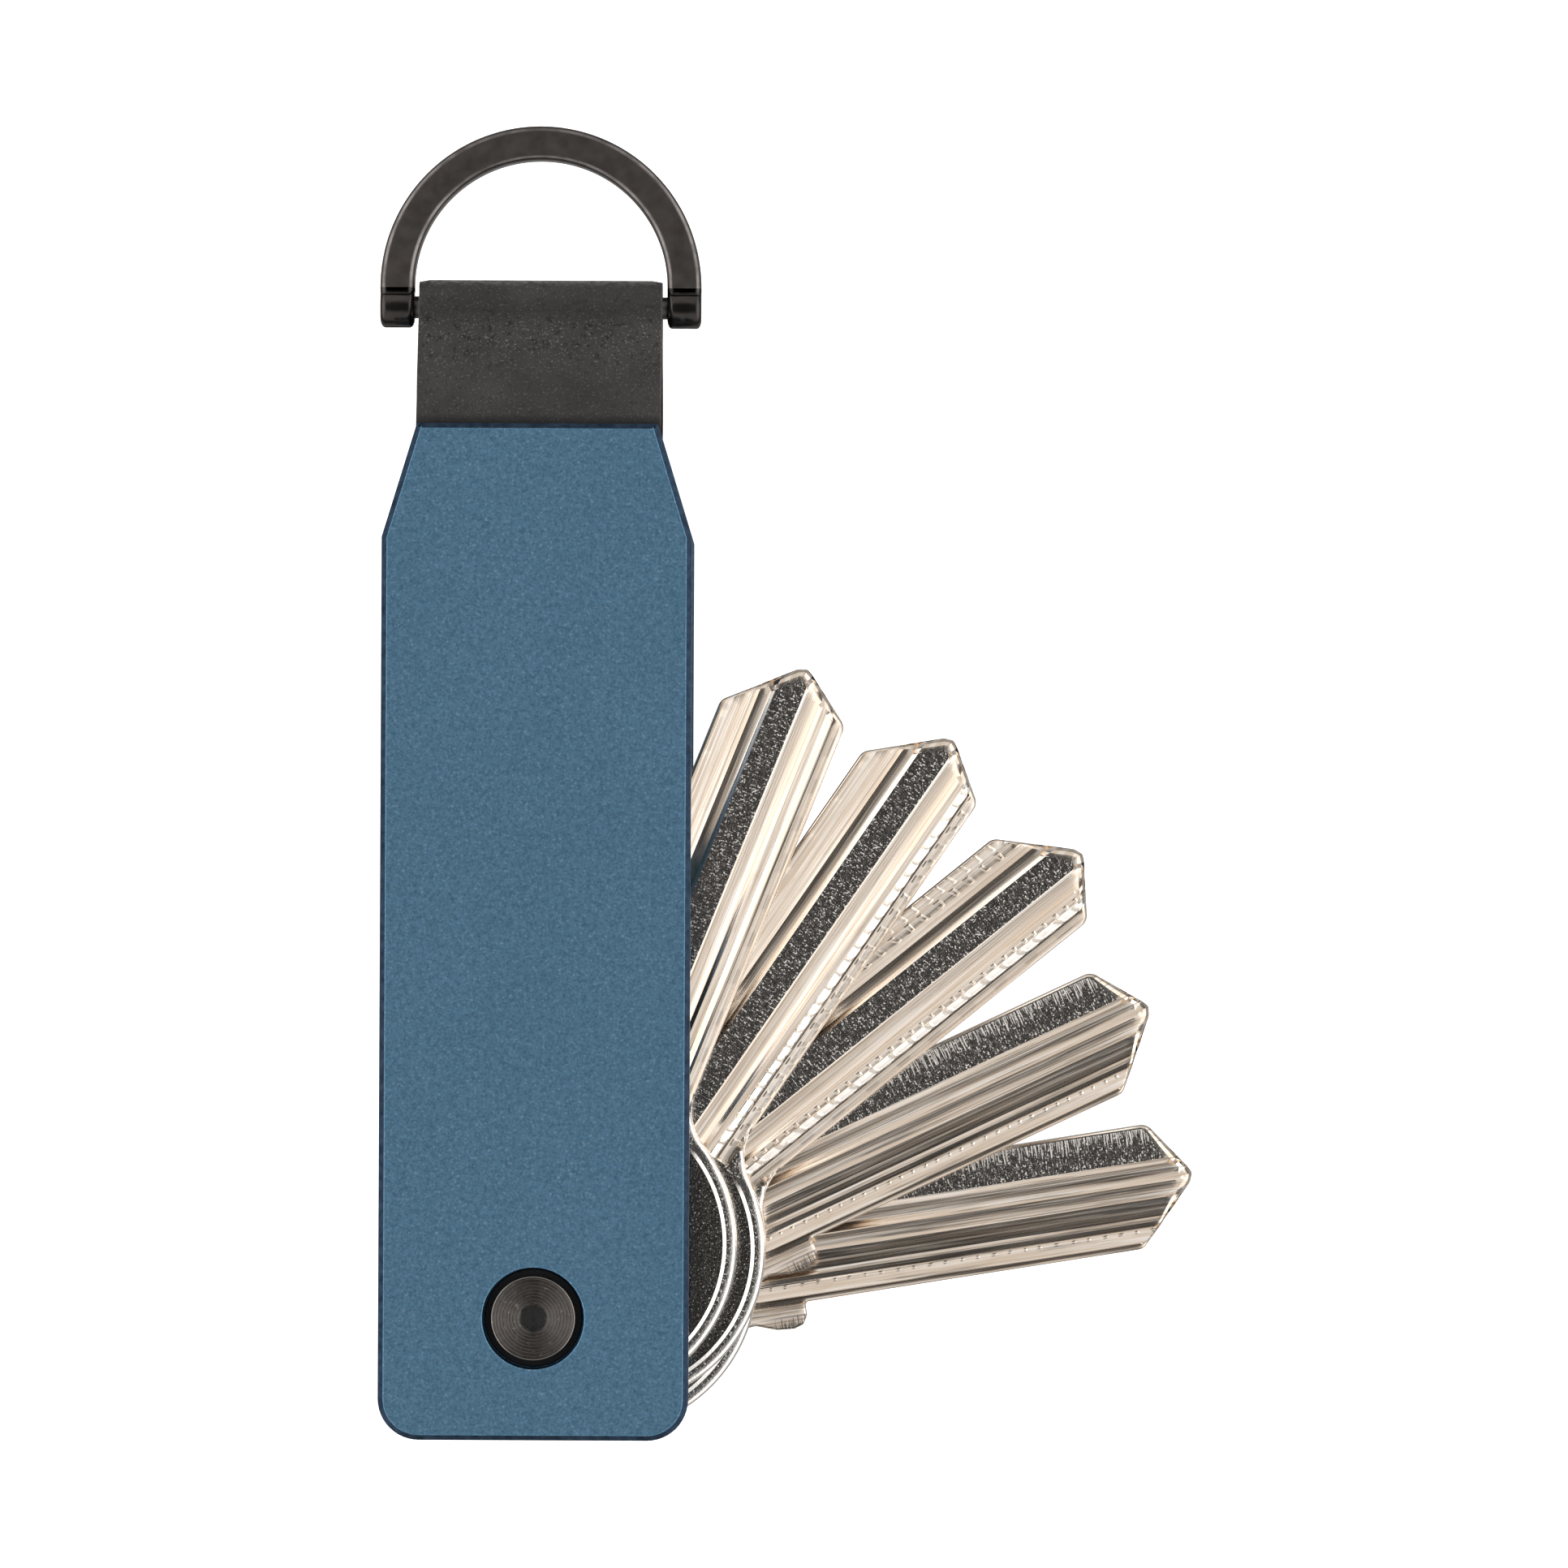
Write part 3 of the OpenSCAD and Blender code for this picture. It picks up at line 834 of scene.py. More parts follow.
class KeyShader(Shader):
    """Nickel over brass, with patterns that follow the key's own length and width."""

    def key_coords(self, scale):
        plan = self.node("UVMap", {"uv_map": "key_plan"}).outputs[0]
        return self.node("Mapping", Vector=plan, Scale=scale).outputs[0]

    def key_plan(self):
        """Place on the key in mm, with the hole's centre at half the span."""
        return self.key_coords((key_plan_span, key_plan_span, 1))

    def from_hole(self):
        """Distances along and across the key from its hole, in mm."""
        split = self.node("SeparateXYZ", Vector=self.key_plan())
        return [self.math("SUBTRACT", split.outputs[axis], key_plan_span / 2) for axis in "XY"]


def shear_marks(s, near, far):
    """Short scores that run in from a sheared edge, densest at the far limit, in mm."""
    u, v = s.from_hole()
    mask = s.math("MULTIPLY", s.ramp(v, near, far), s.ramp(u, 16.5, 17.5))
    scores = s.noise(s.key_coords((430, 26, 1)), 1.0, 2.0)
    reach = s.math("ADD", scores, s.math("MULTIPLY", mask, 0.19))
    return s.math("MULTIPLY", s.ramp(reach, 0.64, 0.69), s.ramp(mask, 0.02, 0.2))


def stamped_nickel():
    """The flats that the blanking tool leaves: tumbled, speckled, faintly brushed across."""
    s = KeyShader("stamped_nickel", 0.24, 1.0)
    plan = s.key_plan()
    pebbles = s.noise(plan, 2.8, 3.0, 0.6)
    across = s.noise(s.key_coords((380, 90, 1)), 1.0, 3.0)
    dots = s.noise(plan, 7.5, 1.0)
    strokes = s.math("MULTIPLY", s.ramp(across, 0.5, 0.58), s.ramp(dots, 0.49, 0.57))
    marks = s.math("MAXIMUM", strokes, shear_marks(s, -2.7, -4.1))
    s.colour(s.mix(marks, (0.52, 0.492, 0.464), (1.0, 0.97, 0.93)))
    s.roughness(s.math("ADD", s.ramp(pebbles, 0.3, 0.7, 0.11, 0.2), s.math("MULTIPLY", marks, 0.38)))
    fine = s.bump(across, 0.00003, 0.35)
    s.normal(s.bump(pebbles, 0.0001, 0.5, fine))
    return s.material


def milled_nickel(name, rows, streaks):
    """Grooves cut by a wheel that runs along the blade, plated warm and bright.
    Each row of chatter is (near edge, far edge, spacing) in mm, then the strength of the painted highlight
    on its cells; the lines between cells carry painted shade."""
    s = KeyShader(name, 0.2, 1.0)
    plan = s.key_plan()
    broad = s.noise(s.key_coords((4, 170, 1)), 1.0, 3.0)
    fine = s.noise(s.key_coords((8, 420, 1)), 1.0, 2.0)
    stain = s.noise(s.key_coords((30, 90, 1)), 1.0, 3.0)
    base = s.mix(s.ramp(broad, 0.4, 0.6), (0.78, 0.655, 0.535), (0.95, 0.86, 0.765))
    base = s.mix(s.ramp(broad, 0.62, 0.72), base, (1.0, 0.98, 0.95))
    base = s.mix(s.ramp(stain, 0.56, 0.7, 0.0, 0.35), base, (0.72, 0.58, 0.44))
    drawn = s.noise(s.key_coords((5, 230, 1)), 1.0, 4.0, 0.6)
    base = s.mix(s.ramp(drawn, 0.48, 0.36, 0.0, streaks), base, (0.22, 0.195, 0.17))
    height = s.math("MULTIPLY", broad, 0.6)
    u, v = s.from_hole()
    wander = s.math("MULTIPLY", s.noise(plan, 0.6, 2.0), 0.8)
    for near, far, spacing, bright in rows:
        band = s.math("MULTIPLY", s.ramp(v, near, near + 0.08), s.ramp(v, far, far - 0.08))
        beat = s.math("MULTIPLY_ADD", v, row_slant, s.math("MULTIPLY_ADD", u, 1 / spacing, wander))
        off = s.math("ABSOLUTE", s.math("SUBTRACT", s.math("FRACT", beat), 0.5))
        notch_and_painted_shade = s.math("MULTIPLY", s.ramp(off, 0.3, 0.44), band)
        # Painted highlight: the row's cells are whitened by its strength.
        base = s.mix(s.math("MULTIPLY", band, bright), base, (0.98, 0.95, 0.91))
        # Painted shade along the lines between the cells.
        base = s.mix(s.math("MULTIPLY", notch_and_painted_shade, 0.3 + 0.4 * bright), base, (0.6, 0.52, 0.44))
        height = s.math("SUBTRACT", s.math("MULTIPLY_ADD", band, 0.35 * bright, height), notch_and_painted_shade)
    sheared = shear_marks(s, 4.9, 5.6)
    s.colour(s.mix(s.math("MULTIPLY", sheared, 0.85), base, (0.12, 0.11, 0.1)))
    s.roughness_by(fine, 0.15, 0.26)
    lines = s.bump(fine, 0.00001, 0.35)
    s.normal(s.bump(height, 0.00006, 0.6, lines))
    return s.material


def panel_nickel():
    """The bow's raised panel, which keeps the pebbled face of the stamping die."""
    s = KeyShader("panel_nickel", 0.2, 1.0)
    plan = s.key_plan()
    pebbles = s.noise(plan, 5.0, 2.0, 0.6)
    dots = s.ramp(s.noise(plan, 7.5, 1.0), 0.62, 0.72)
    s.colour(s.mix(dots, (0.34, 0.32, 0.3), (0.95, 0.91, 0.86)))
    s.roughness(s.math("ADD", s.ramp(pebbles, 0.3, 0.7, 0.1, 0.16), s.math("MULTIPLY", dots, 0.3)))
    s.normal(s.bump(pebbles, 0.00007, 0.5))
    return s.material


def burnished_nickel():
    """The rolled edges and the bow's rim, which wear bright in the hand."""
    s = KeyShader("burnished_nickel", 0.16, 1.0)
    grain = s.noise(s.key_plan(), 6.0, 2.0)
    return s.grained(grain, [(0.88, 0.85, 0.815), (0.98, 0.96, 0.93)], (0.12, 0.22), 0.00003, 0.35)


stamped = stamped_nickel()
pebbled = panel_nickel()
burnished = burnished_nickel()
joints = frame["record"]["behaviour"]["joints"]
key_joints = [joint for joint in joints if joint["name"].startswith("key_")]
# Chatter rows of each key: near edge, far edge and spacing in mm, then the strength of the painted highlight
# on the row.
chatter_rows = [
    [],
    [(-3.28, -2.76, 1.15, 0.9), (-4.05, -3.5, 1.35, 0.3)],
    [(-2.7, -2.4, 0.9, 0.1), (-3.28, -2.76, 1.6, 0.9), (2.7, 3.3, 1.3, 0.1), (3.45, 4.1, 1.1, 0.2)],
    [(2.86, 3.1, 0.9, 0.2)],
    [(2.86, 3.1, 1.1, 0.2)],
]
for n, joint in enumerate(key_joints):
    node = "key_%d" % (n + 1)
    low, high = box_mm(node)
    streaks = 0.75 if key_turned_over[n] else 0.12
    milled = milled_nickel(node + "_milled_nickel", chatter_rows[n], streaks)
    mesh = key_mesh(node + "_milled", chatter_rows[n], [stamped, milled, pebbled, burnished])
    spots = np.array([v.co for v in mesh.vertices])
    if key_turned_over[n]:
        spots[:, 1:] *= -1
    spots[:, 0] += key_hang[n][0]
    spots[:, 1] += key_hang[n][1]
    turn = math.radians(90 - joint["range_deg"][1])
    along, across = math.cos(turn), math.sin(turn)
    spots[:, :2] = spots[:, :2] @ np.array([[along, across], [-across, along]])
    spots[:, 1] += pivot_y
    spots[:, 2] += (low[2] + high[2]) / 2
    mesh.vertices.foreach_set("co", (spots * MM).astype(np.float32).ravel())
    mesh.update()
    piece = bpy.data.objects.new(node + "_milled", mesh)
    bpy.context.scene.collection.objects.link(piece)
    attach(piece, node)
    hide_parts(node)

# ---------------------------------------------------------------------------
# Disc spring and screw washer. A coned steel spring presses the stack of keys
# together, and a thin black washer sits under the head of the pivot screw.
def bright_steel():
    """Ground spring steel, faintly brushed."""
    s = Shader("bright_spring_steel", 0.32, 1.0, (0.56, 0.55, 0.54))
    coords = s.object_coords()
    grain = s.noise(coords, 1500.0, 3.0)
    s.colour(s.mix(grain, (0.48, 0.47, 0.46), (0.66, 0.65, 0.64)))
    s.roughness_by(grain, 0.25, 0.4)
    s.normal(s.bump(grain, 0.00001, 0.4))
    return s.material


steel = bright_steel()
spring_low, spring_high = box_mm("disc_spring")
spring_r = (spring_high[0] - spring_low[0]) / 2
cone = [
    (spring_r - 0.06, spring_low[2]), (spring_r, spring_low[2] + 0.06),
    (spring_r - 0.05, spring_low[2] + 0.36),
    (washer_bore + 0.06, spring_high[2]), (washer_bore, spring_high[2] - 0.06),
    (washer_bore + 0.05, spring_high[2] - 0.35),
]
spring = make_mesh("disc_spring_coned", moved(lathe(cone, 96), pivot_y))
place("disc_spring_coned", spring, ["disc_spring"], steel)
seat_low, seat_high = box_mm("screw_washer")
seat_r = (seat_high[0] - seat_low[0]) / 2
disc = [
    (seat_r - 0.05, seat_low[2]), (seat_r, seat_low[2] + 0.05), (seat_r, seat_high[2] - 0.07),
    (seat_r - 0.07, seat_high[2]), (thread_r + 0.15, seat_high[2]), (thread_r + 0.1, seat_high[2] - 0.05),
    (thread_r + 0.1, seat_low[2]),
]
seat = make_mesh("screw_washer_punched", moved(lathe(disc, 96), pivot_y))
place("screw_washer_punched", seat, ["screw_washer"], nylon)

# ---------------------------------------------------------------------------
# Pivot screw. A turned steel screw with a flat head and a hex socket, finished
# in black nickel. It clamps the plates on the post.
screw_low, screw_high = box_mm("pivot_screw")
screw_head_h = 0.9
stack, bore = turned_head(head_r, screw_head_h, socket_af, socket_depth, 22.0, 8, (0, pivot_y), 0.1)
screw_head = moved(stacked_solid(stack, blind=[bore]), up=screw_high[2] - screw_head_h)
thread_end = screw_low[2]
thread_top = screw_high[2] - screw_head_h + 0.05
thread_pitch = 0.45
core = [(0.01, thread_end), (thread_r - 0.3, thread_end)]
for i in range(int((thread_top - thread_end - 0.6) / thread_pitch)):
    z = thread_end + 0.2 + i * thread_pitch
    core += [(thread_r - 0.22, z), (thread_r - 0.02, z + 0.5 * thread_pitch)]
core += [(thread_r - 0.1, thread_top), (0.01, thread_top)]
screw_solid = joined(screw_head, moved(lathe(core, 48), pivot_y))
screw = place("pivot_screw_turned", make_mesh("pivot_screw_turned", screw_solid, 22), ["pivot_screw"],
              pivot_nickel)
paint_socket_shade(screw.data, [(0, pivot_y)], socket_af)

# ---------------------------------------------------------------------------
# Strap. A band of black leather folded over the ring's pin. Its two ends lie
# against the plates, with a moulded nylon block between them.
def black_leather():
    """Full-grain black leather: pebbled, dusty in the grain and paler on its cut edges, with a painted
    highlight along the fold, a painted shade band across the loop near the pin and a painted shadow where it
    runs under the front plate.
    """
    s = Shader("black_leather", 0.62, 0.0, (0.03, 0.029, 0.028))
    s.bsdf.inputs["Specular IOR Level"].default_value = 0.3
    coords = s.object_coords()
    pebble = s.node("TexVoronoi", Vector=coords, Scale=4200.0).outputs["Distance"]
    grain = s.noise(coords, 2200.0, 4.0, 0.65)
    dust = s.noise(coords, 7000.0, 1.0)
    cloud = s.noise(coords, 260.0, 3.0)
    x, y, _ = s.node("SeparateXYZ", Vector=coords).outputs

    def away_from(along):
        return s.math("ABSOLUTE", s.math("SUBTRACT", y, along * MM))

    stretched = s.ramp(away_from(pin_y - 2.0), 2.6 * MM, 0.6 * MM)
    base = s.mix(s.ramp(cloud, 0.3, 0.7), (0.029, 0.028, 0.028), (0.047, 0.0455, 0.0455))
    pits = s.math("MULTIPLY", s.ramp(grain, 0.47, 0.36), s.ramp(stretched, 0.0, 1.0, 0.4, 0.95))
    base = s.mix(pits, base, (0.005, 0.005, 0.005))
    motes = s.math("MULTIPLY", s.ramp(dust, 0.58, 0.74), s.ramp(stretched, 0.0, 1.0, 0.3, 0.6))
    base = s.mix(motes, base, (0.2, 0.195, 0.19))
    edge = strap_half_w - 0.005
    cut = s.ramp(s.math("ABSOLUTE", x), (edge - 0.1) * MM, edge * MM)
    # Painted shadow where the strap runs under the front plate's edge.
    painted_shadow_at_plate = s.ramp(y, (plate_high[1] + 0.7) * MM, (plate_high[1] + 0.1) * MM)
    # Painted highlight along the top of the fold, broken up by the grain.
    fold = s.ramp(y, (pin_y + 1.4) * MM, (pin_y + 1.8) * MM, 0.0, 0.8)
    # Paler cut edges, together with the painted highlight on the fold.
    cut_edge_and_fold_highlight = s.math("MAXIMUM", s.math("MULTIPLY", cut, 0.7), s.math("MULTIPLY", fold, s.ramp(grain, 0.4, 0.6)))
    # Painted shade band across the loop near the pin.
    painted_shade_band = s.ramp(away_from(pin_y - 0.3), 1.4 * MM, 0.0, 0.0, 0.4)
    # Darkens the colour with the painted shadow at the plate and the painted shade band.
    base = s.mix(s.math("MAXIMUM", s.math("MULTIPLY", painted_shadow_at_plate, 0.85), painted_shade_band), base, (0.004, 0.004, 0.004))
    s.colour(s.mix(s.math("MULTIPLY", cut_edge_and_fold_highlight, 0.55), base, (0.3, 0.285, 0.27)))
    s.roughness_by(grain, 0.5, 0.75)
    fine = s.bump(pebble, 0.00004, 0.4)
    s.normal(s.bump(grain, 0.00008, 0.6, fine))
    return s.material


strap_low, strap_high = box_mm("strap")
pin_low, pin_high = box_mm("ring_pin")
pin_y = (pin_low[1] + pin_high[1]) / 2
mid_z = (pin_low[2] + pin_high[2]) / 2
strap_half_w = strap_high[0]
strap_half_h = (strap_high[2] - strap_low[2]) / 2
strap_t = 1.05
fold_r = strap_high[1] - pin_y
leather = black_leather()


def loop_line(radius, half_h, count=28):
    """Side view of the folded band, (along, through) points from the front end to the rear end."""
    edge = np.array([plate_high[1] - pin_y, half_h])
    touch = math.atan2(edge[1], edge[0]) - math.acos(radius / np.linalg.norm(edge))
    leg = [np.array([radius * math.cos(touch), radius * math.sin(touch)]), edge,
           np.array([strap_low[1] - pin_y, half_h])]
    front = []
    for a, b, steps in ((leg[2], leg[1], 14), (leg[1], leg[0], 12)):
        front += [a + (b - a) * k / steps for k in range(steps)]
    turn = np.linspace(touch, -touch, count)
    bend = [np.array([radius * math.cos(a), radius * math.sin(a)]) for a in turn]
    rear = [np.array([p[0], -p[1]]) for p in reversed(front)]
    return np.array(front + bend + rear)


outer_line = loop_line(fold_r, strap_half_h)
inner_line = loop_line(fold_r - strap_t, strap_half_h - strap_t)
rng = np.random.default_rng(7)
across_strap = np.linspace(-1, 1, 25)
edge_soft = 0.12
wobble = np.convolve(rng.normal(0, 1, len(outer_line) + 8), np.ones(5) / 5, "same")[4:-4] * 0.03


def strap_side(widths, half_w, here, there):
    """Points across one side of the strap, eased towards the other side at the cut edges."""
    points = []
    for t in widths:
        ease_in = edge_soft * max(0.0, (abs(t) - 0.96) / 0.04) ** 2
        points.append((half_w * t, *(here + (there - here) / strap_t * ease_in)))
    return points


sections = []
for k, (a, b) in enumerate(zip(outer_line, inner_line)):
    half_w = strap_half_w - 0.02 + min(0.0, wobble[k])
    sections.append(strap_side(across_strap, half_w, a, b) + strap_side(across_strap[::-1], half_w, b, a))
count = len(sections[0])
verts = [(x, pin_y + along, mid_z + through) for section in sections for x, along, through in section]
faces = []
for k in range(len(sections) - 1):
    for m in range(count):
        faces.append((k * count + m, k * count + (m + 1) % count,
                      (k + 1) * count + (m + 1) % count, (k + 1) * count + m))
for start in (0, (len(sections) - 1) * count):
    for m in range(count // 2 - 1):
        faces.append((start + m, start + m + 1, start + count - 2 - m, start + count - 1 - m))
place("leather_strap", make_mesh("leather_strap", (verts, faces), 60), ["strap"], leather)

spacer_low, spacer_high = box_mm("strap_spacer")
spacer_half = spacer_high[0]
block = round_corners([(-spacer_half, spacer_low[1]), (spacer_half, spacer_low[1]),
                       (spacer_half, spacer_high[1]), (-spacer_half, spacer_high[1])], [0.6] * 4, 8)
block_edge = 0.15
stack = [(inset(block, block_edge), spacer_low[2]), (block, spacer_low[2] + block_edge),
         (block, spacer_high[2] - block_edge), (inset(block, block_edge), spacer_high[2])]
bores = []
for side in (-1, 1):
    wall = circle_points((side * anchor_x, anchor_y), standoff_r, 40)
    bores.append([(wall, spacer_low[2]), (wall, spacer_high[2])])
spacer = make_mesh("strap_spacer_moulded", stacked_solid(stack, bores))
place("strap_spacer_moulded", spacer, ["strap_spacer"], nylon)

# ---------------------------------------------------------------------------
# Strap standoffs and screws. Two bright threaded posts pressed into the front
# plate pass through the strap, and two black screws hold them from behind.
def copies_of(name, mesh, material, sizes):
    """Repeats one mesh across the strap with a geometry node tree."""
    source = bpy.data.objects.new(name + "_pattern", mesh)
    sizes = {"Pattern": source, **sizes}
    tree, given, result = node_tree(name, sizes)
    shape = wire(tree, "GeometryNodeObjectInfo", [("Object", given.outputs["Pattern"])])
    along_a_line(tree, given, result, shape.outputs["Geometry"], material)
    made = finished_mesh(name, tree, sizes)
    bpy.data.objects.remove(source)
    return made


pair = {
    "Count": 2,
    "First": (-anchor_x * MM, anchor_y * MM, 0.0),
    "Step": (2 * anchor_x * MM, 0.0, 0.0),
}
post_z0, post_z1 = (corner[2] for corner in box_mm("strap_standoffs"))
pillar = [
    (standoff_r - 0.1, post_z0), (standoff_r, post_z0 + 0.1), (standoff_r, post_z1 - 0.1),
    (standoff_r - 0.1, post_z1), (0.01, post_z1), (0.01, post_z0 + 7.3), (1.0, post_z0 + 7.0),
    (1.0, post_z0 + 0.1), (1.1, post_z0),
]
mesh = copies_of("strap_standoffs_turned", make_mesh("standoff", lathe(pillar, 40)), steel, pair)
place("strap_standoffs_turned", mesh, ["strap_standoffs"], steel)
head_z = screws_low[2]
strap_head_h = 1.0
strap_socket = 1.3
stack, bore = turned_head(strap_head_r - 0.1, strap_head_h, strap_socket, 0.6, 0.0, 5, (0, 0), 0.15)
small_head = turned_over(stacked_solid(stack, blind=[bore]), head_z + strap_head_h)
core = [(0.01, head_z + 0.95), (0.8, head_z + 0.95)]
for i in range(14):
    core += [(0.82, head_z + 1.2 + 0.4 * i), (0.98, head_z + 1.4 + 0.4 * i)]
core += [(0.8, screws_high[2]), (0.01, screws_high[2])]
one_screw = make_mesh("strap_screw", joined(small_head, lathe(core, 32)))
strap_nickel = black_nickel("black_nickel_plain")
mesh = copies_of("strap_screws_turned", one_screw, strap_nickel, pair)
screws = place("strap_screws_turned", mesh, ["strap_screws"], strap_nickel)
paint_socket_shade(screws.data, [(-anchor_x, anchor_y), (anchor_x, anchor_y)], strap_socket)

# ---------------------------------------------------------------------------
# D-ring. Cast in one piece with a flat bar, cut-back edges and a barrel lug at
# each end, and coated satin black. Above each lug the bar is notched.
def satin_black():
    """A thin hard coating over cast metal: soft sheen with faint mottling."""
    s = Shader("satin_black_coating", 0.34, 0.9, (0.115, 0.105, 0.1))
    coords = s.object_coords()
    mottle = s.noise(coords, 1300.0, 4.0)
    grain = s.noise(coords, 3000.0, 2.0)
    s.colour_by(mottle, (0.106, 0.097, 0.093), (0.12, 0.11, 0.105))
    s.roughness_by(mottle, 0.33, 0.4)
    fine = s.bump(grain, 0.00001, 0.5)
    s.normal(s.bump(mottle, 0.000015, 0.3, fine))
    return s.material


def rubbed_black_and_highlight():
    """The same coating on the ring's rounded edges: thinner and shinier from use, and paler there as a
    painted highlight.
    """
    s = Shader("rubbed_black_coating_and_painted_highlight", 0.2, 1.0)
    coords = s.object_coords()
    wear = s.noise(coords, 900.0, 3.0)
    s.colour(s.mix(s.ramp(wear, 0.35, 0.65), (0.12, 0.11, 0.105), (0.23, 0.215, 0.21)))
    s.roughness_by(wear, 0.16, 0.28)
    s.normal(s.bump(wear, 0.00001, 0.3))
    return s.material


def lug_black():
    """The coating on the lugs, coloured darker and glossier than on the bar."""
    s = Shader("lug_black_coating", 0.16, 0.9)
    ripple = s.noise(s.object_coords(), 700.0, 2.0)
    return s.grained(ripple, [(0.045, 0.042, 0.04), (0.07, 0.064, 0.061)], (0.12, 0.2), 0.00012, 0.5)


coating = satin_black()
rubbed_edges_and_highlight = rubbed_black_and_highlight()
lug_coating = lug_black()
ring_low, ring_high = box_mm("d_ring")
ring_r = ring_high[0]
ring_bar = 2.3
ring_half_t = 1.25
ring_rise = ring_high[1] - pin_y - ring_r
lug_r = pin_y - ring_low[1]
edge_cut = 0.42
centre_r = ring_r - ring_bar / 2

# Stations down one leg: height above the pin and half thickness there
leg = [
    (ring_rise * 0.75, ring_half_t), (1.3, ring_half_t), (1.24, 1.22), (1.15, 1.12), (1.05, 1.08),
    (0.95, 1.08),
]
for angle in range(40, -90, -8):
    a = math.radians(angle)
    leg.append((lug_r * math.sin(a), lug_r * math.cos(a)))
leg.append((-lug_r * 0.999, 0.3))
stations = [(-centre_r, y, 0.0, half_t) for y, half_t in reversed(leg)]
for a in np.radians(np.linspace(180, 0, 97)):
    stations.append((centre_r * math.cos(a), ring_rise + centre_r * math.sin(a), math.pi - a, ring_half_t))
stations += [(centre_r, y, math.pi, half_t) for y, half_t in leg]
verts, faces = [], []
for i, (x, y, turn, half_t) in enumerate(stations):
    end_in = 0.3 * (1 - math.sqrt(1 - np.clip((-0.55 * lug_r - y) / (0.45 * lug_r), 0, 1) ** 2))
    h = ring_bar / 2 - end_in
    e = min(edge_cut, half_t * 0.5)
    section = []
    for sx, sz in ((1, 1), (-1, 1), (-1, -1), (1, -1)):
        corner = arc((h - e, half_t - e), e, 0, 90, 9)
        if sx * sz < 0:
            corner = corner[::-1]
        section += [(sx * a, sz * b) for a, b in corner]
    for across_bar, through in section:
        verts.append((x - across_bar * math.cos(turn), y + across_bar * math.sin(turn), through))
    if i:
        n = len(section)
        for k in range(n):
            faces.append(((i - 1) * n + k, (i - 1) * n + (k + 1) % n, i * n + (k + 1) % n, i * n + k))
around = len(section)
faces.append(tuple(range(around)))
faces.append(tuple(range(len(verts) - around, len(verts))))
cast = make_mesh("d_ring_cast", moved((np.array(verts), faces), pin_y, mid_z), 40)
ring = place("d_ring_cast", cast, ["d_ring"], coating, "ring")
ring.data.materials.append(rubbed_edges_and_highlight)
ring.data.materials.append(lug_coating)
lug_top = pin_y + 1.2
# The lugs take the darker lug coating.
for face in ring.data.polygons:
    if face.center.y < lug_top * MM:
        face.material_index = 2
    # Rounded edges: the thinner coating with its painted highlight.
    elif 0.74 < abs(face.normal.z) < 0.97:
        face.material_index = 1

# ---------------------------------------------------------------------------
# Ring pin. A steel rod pressed through both lugs and the fold of the strap,
# with domed ends and the same black coating.
pin_r = (pin_high[2] - pin_low[2]) / 2
pin_half = pin_high[0]
rod = [
    (0.01, -pin_half), (pin_r * 0.7, -pin_half), (pin_r * 0.93, -pin_half + 0.06), (pin_r, -pin_half + 0.2),
    (pin_r, pin_half - 0.2), (pin_r * 0.93, pin_half - 0.06), (pin_r * 0.7, pin_half), (0.01, pin_half),
]
verts, faces = lathe(rod, 48)
verts = np.c_[verts[:, 2], verts[:, 1] + pin_y, mid_z - verts[:, 0]]
pin = make_mesh("ring_pin_pressed", (verts, faces))
place("ring_pin_pressed", pin, ["ring_pin"], coating, "ring")

# ---------------------------------------------------------------------------
# Studio. A plain white floor, a soft light tent whose opening is straight
# overhead, and a camera that looks straight down from 600 mm.
def pale_floor():
    s = Shader("pale_floor", 0.9, 0.0, (0.9, 0.9, 0.9))
    s.bsdf.inputs["Specular IOR Level"].default_value = 0.0
    s.bsdf.inputs["Emission Color"].default_value = (1, 1, 1, 1)
    s.bsdf.inputs["Emission Strength"].default_value = 0.95
    return s.material


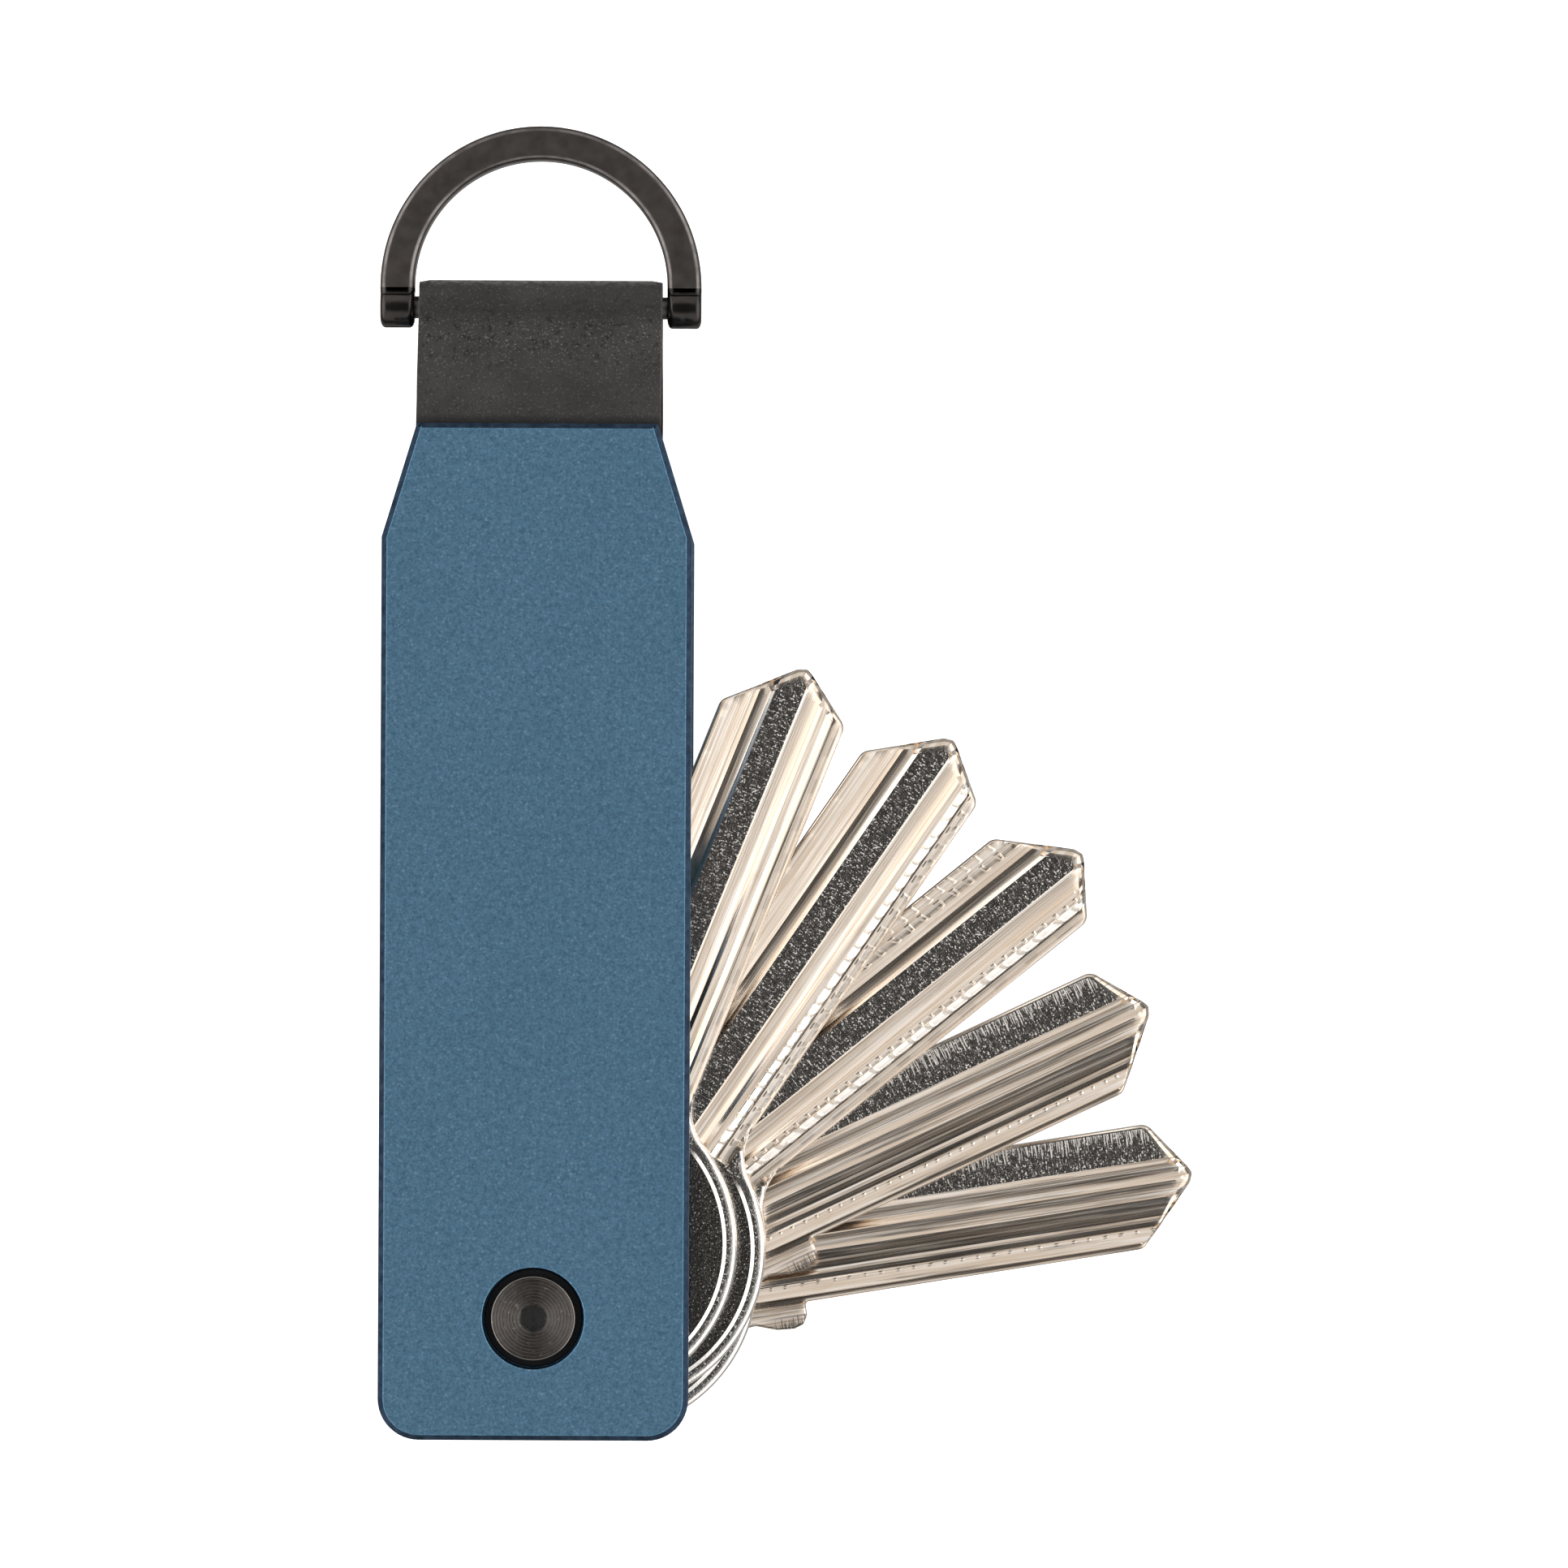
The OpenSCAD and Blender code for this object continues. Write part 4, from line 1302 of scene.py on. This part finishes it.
floor_mesh = bpy.data.meshes.new("studio_floor")
reach = 1.5
corners = [(-reach, -reach, 0), (reach, -reach, 0), (reach, reach, 0), (-reach, reach, 0)]
floor_mesh.from_pydata(corners, [], [(0, 1, 2, 3)])
floor = bpy.data.objects.new("studio_floor", floor_mesh)
floor_mesh.materials.append(pale_floor())
bpy.context.scene.collection.objects.link(floor)
floor.location.z = -0.00002
floor.visible_glossy = False

world = bpy.data.worlds.new("light_tent")
bpy.context.scene.world = world
world.use_nodes = True
sky = Nodes(world.node_tree)
x, y, z = sky.node("SeparateXYZ", Vector=sky.node("TexCoord").outputs["Generated"]).outputs


def sky_step(value, low, high, out_low=0.0, out_high=1.0):
    return sky.ramp(value, low, high, out_low, out_high, "SMOOTHSTEP")


across_gap = sky.math("DIVIDE", x, 0.3)
along_gap = sky.math("DIVIDE", y, 0.52)
from_gap = sky.math("SQRT", sky.math("ADD", sky.math("MULTIPLY", across_gap, across_gap),
                                     sky.math("MULTIPLY", along_gap, along_gap)))
tent = sky_step(from_gap, 0.6, 1.3, 0.05, 0.8)
soft_boxes = sky_step(sky.math("ABSOLUTE", x), 0.44, 0.62, 0.0, 0.95)
above_rim = sky_step(z, 0.0, 0.35, 0.5, 1.0)
upper = sky.math("MULTIPLY", sky.math("ADD", tent, soft_boxes), above_rim)
below = sky_step(z, -0.5, -0.05, 0.45, 0.0)
level = sky.math("ADD", sky.math("MULTIPLY", upper, sky_step(z, -0.1, 0.05)), below)
warmth = sky.node("CombineColor")
for socket, tint in zip(warmth.inputs, (1.0, 0.975, 0.95)):
    sky.put(socket, sky.math("MULTIPLY", level, tint))
background = world.node_tree.nodes["Background"]
sky.put(background.inputs["Color"], warmth.outputs[0])
background.inputs["Strength"].default_value = 1.0

camera_data = bpy.data.cameras.new("overhead")
camera = bpy.data.objects.new("overhead", camera_data)
bpy.context.scene.collection.objects.link(camera)
bpy.context.scene.camera = camera
view_width = 104.43
view_distance = 600.0
camera_data.sensor_width = 36.0
camera_data.lens = camera_data.sensor_width * view_distance / view_width
camera_data.clip_start = 0.01
camera_data.clip_end = 10.0
view_x = 16.55
view_y = pivot_y + 35.68
view_turn_deg = 0.27
camera.location = (view_x * MM, view_y * MM, (front_high[2] + view_distance) * MM)
camera.rotation_euler = (0.0, 0.0, math.radians(view_turn_deg))
bpy.context.scene.view_settings.view_transform = "Standard"
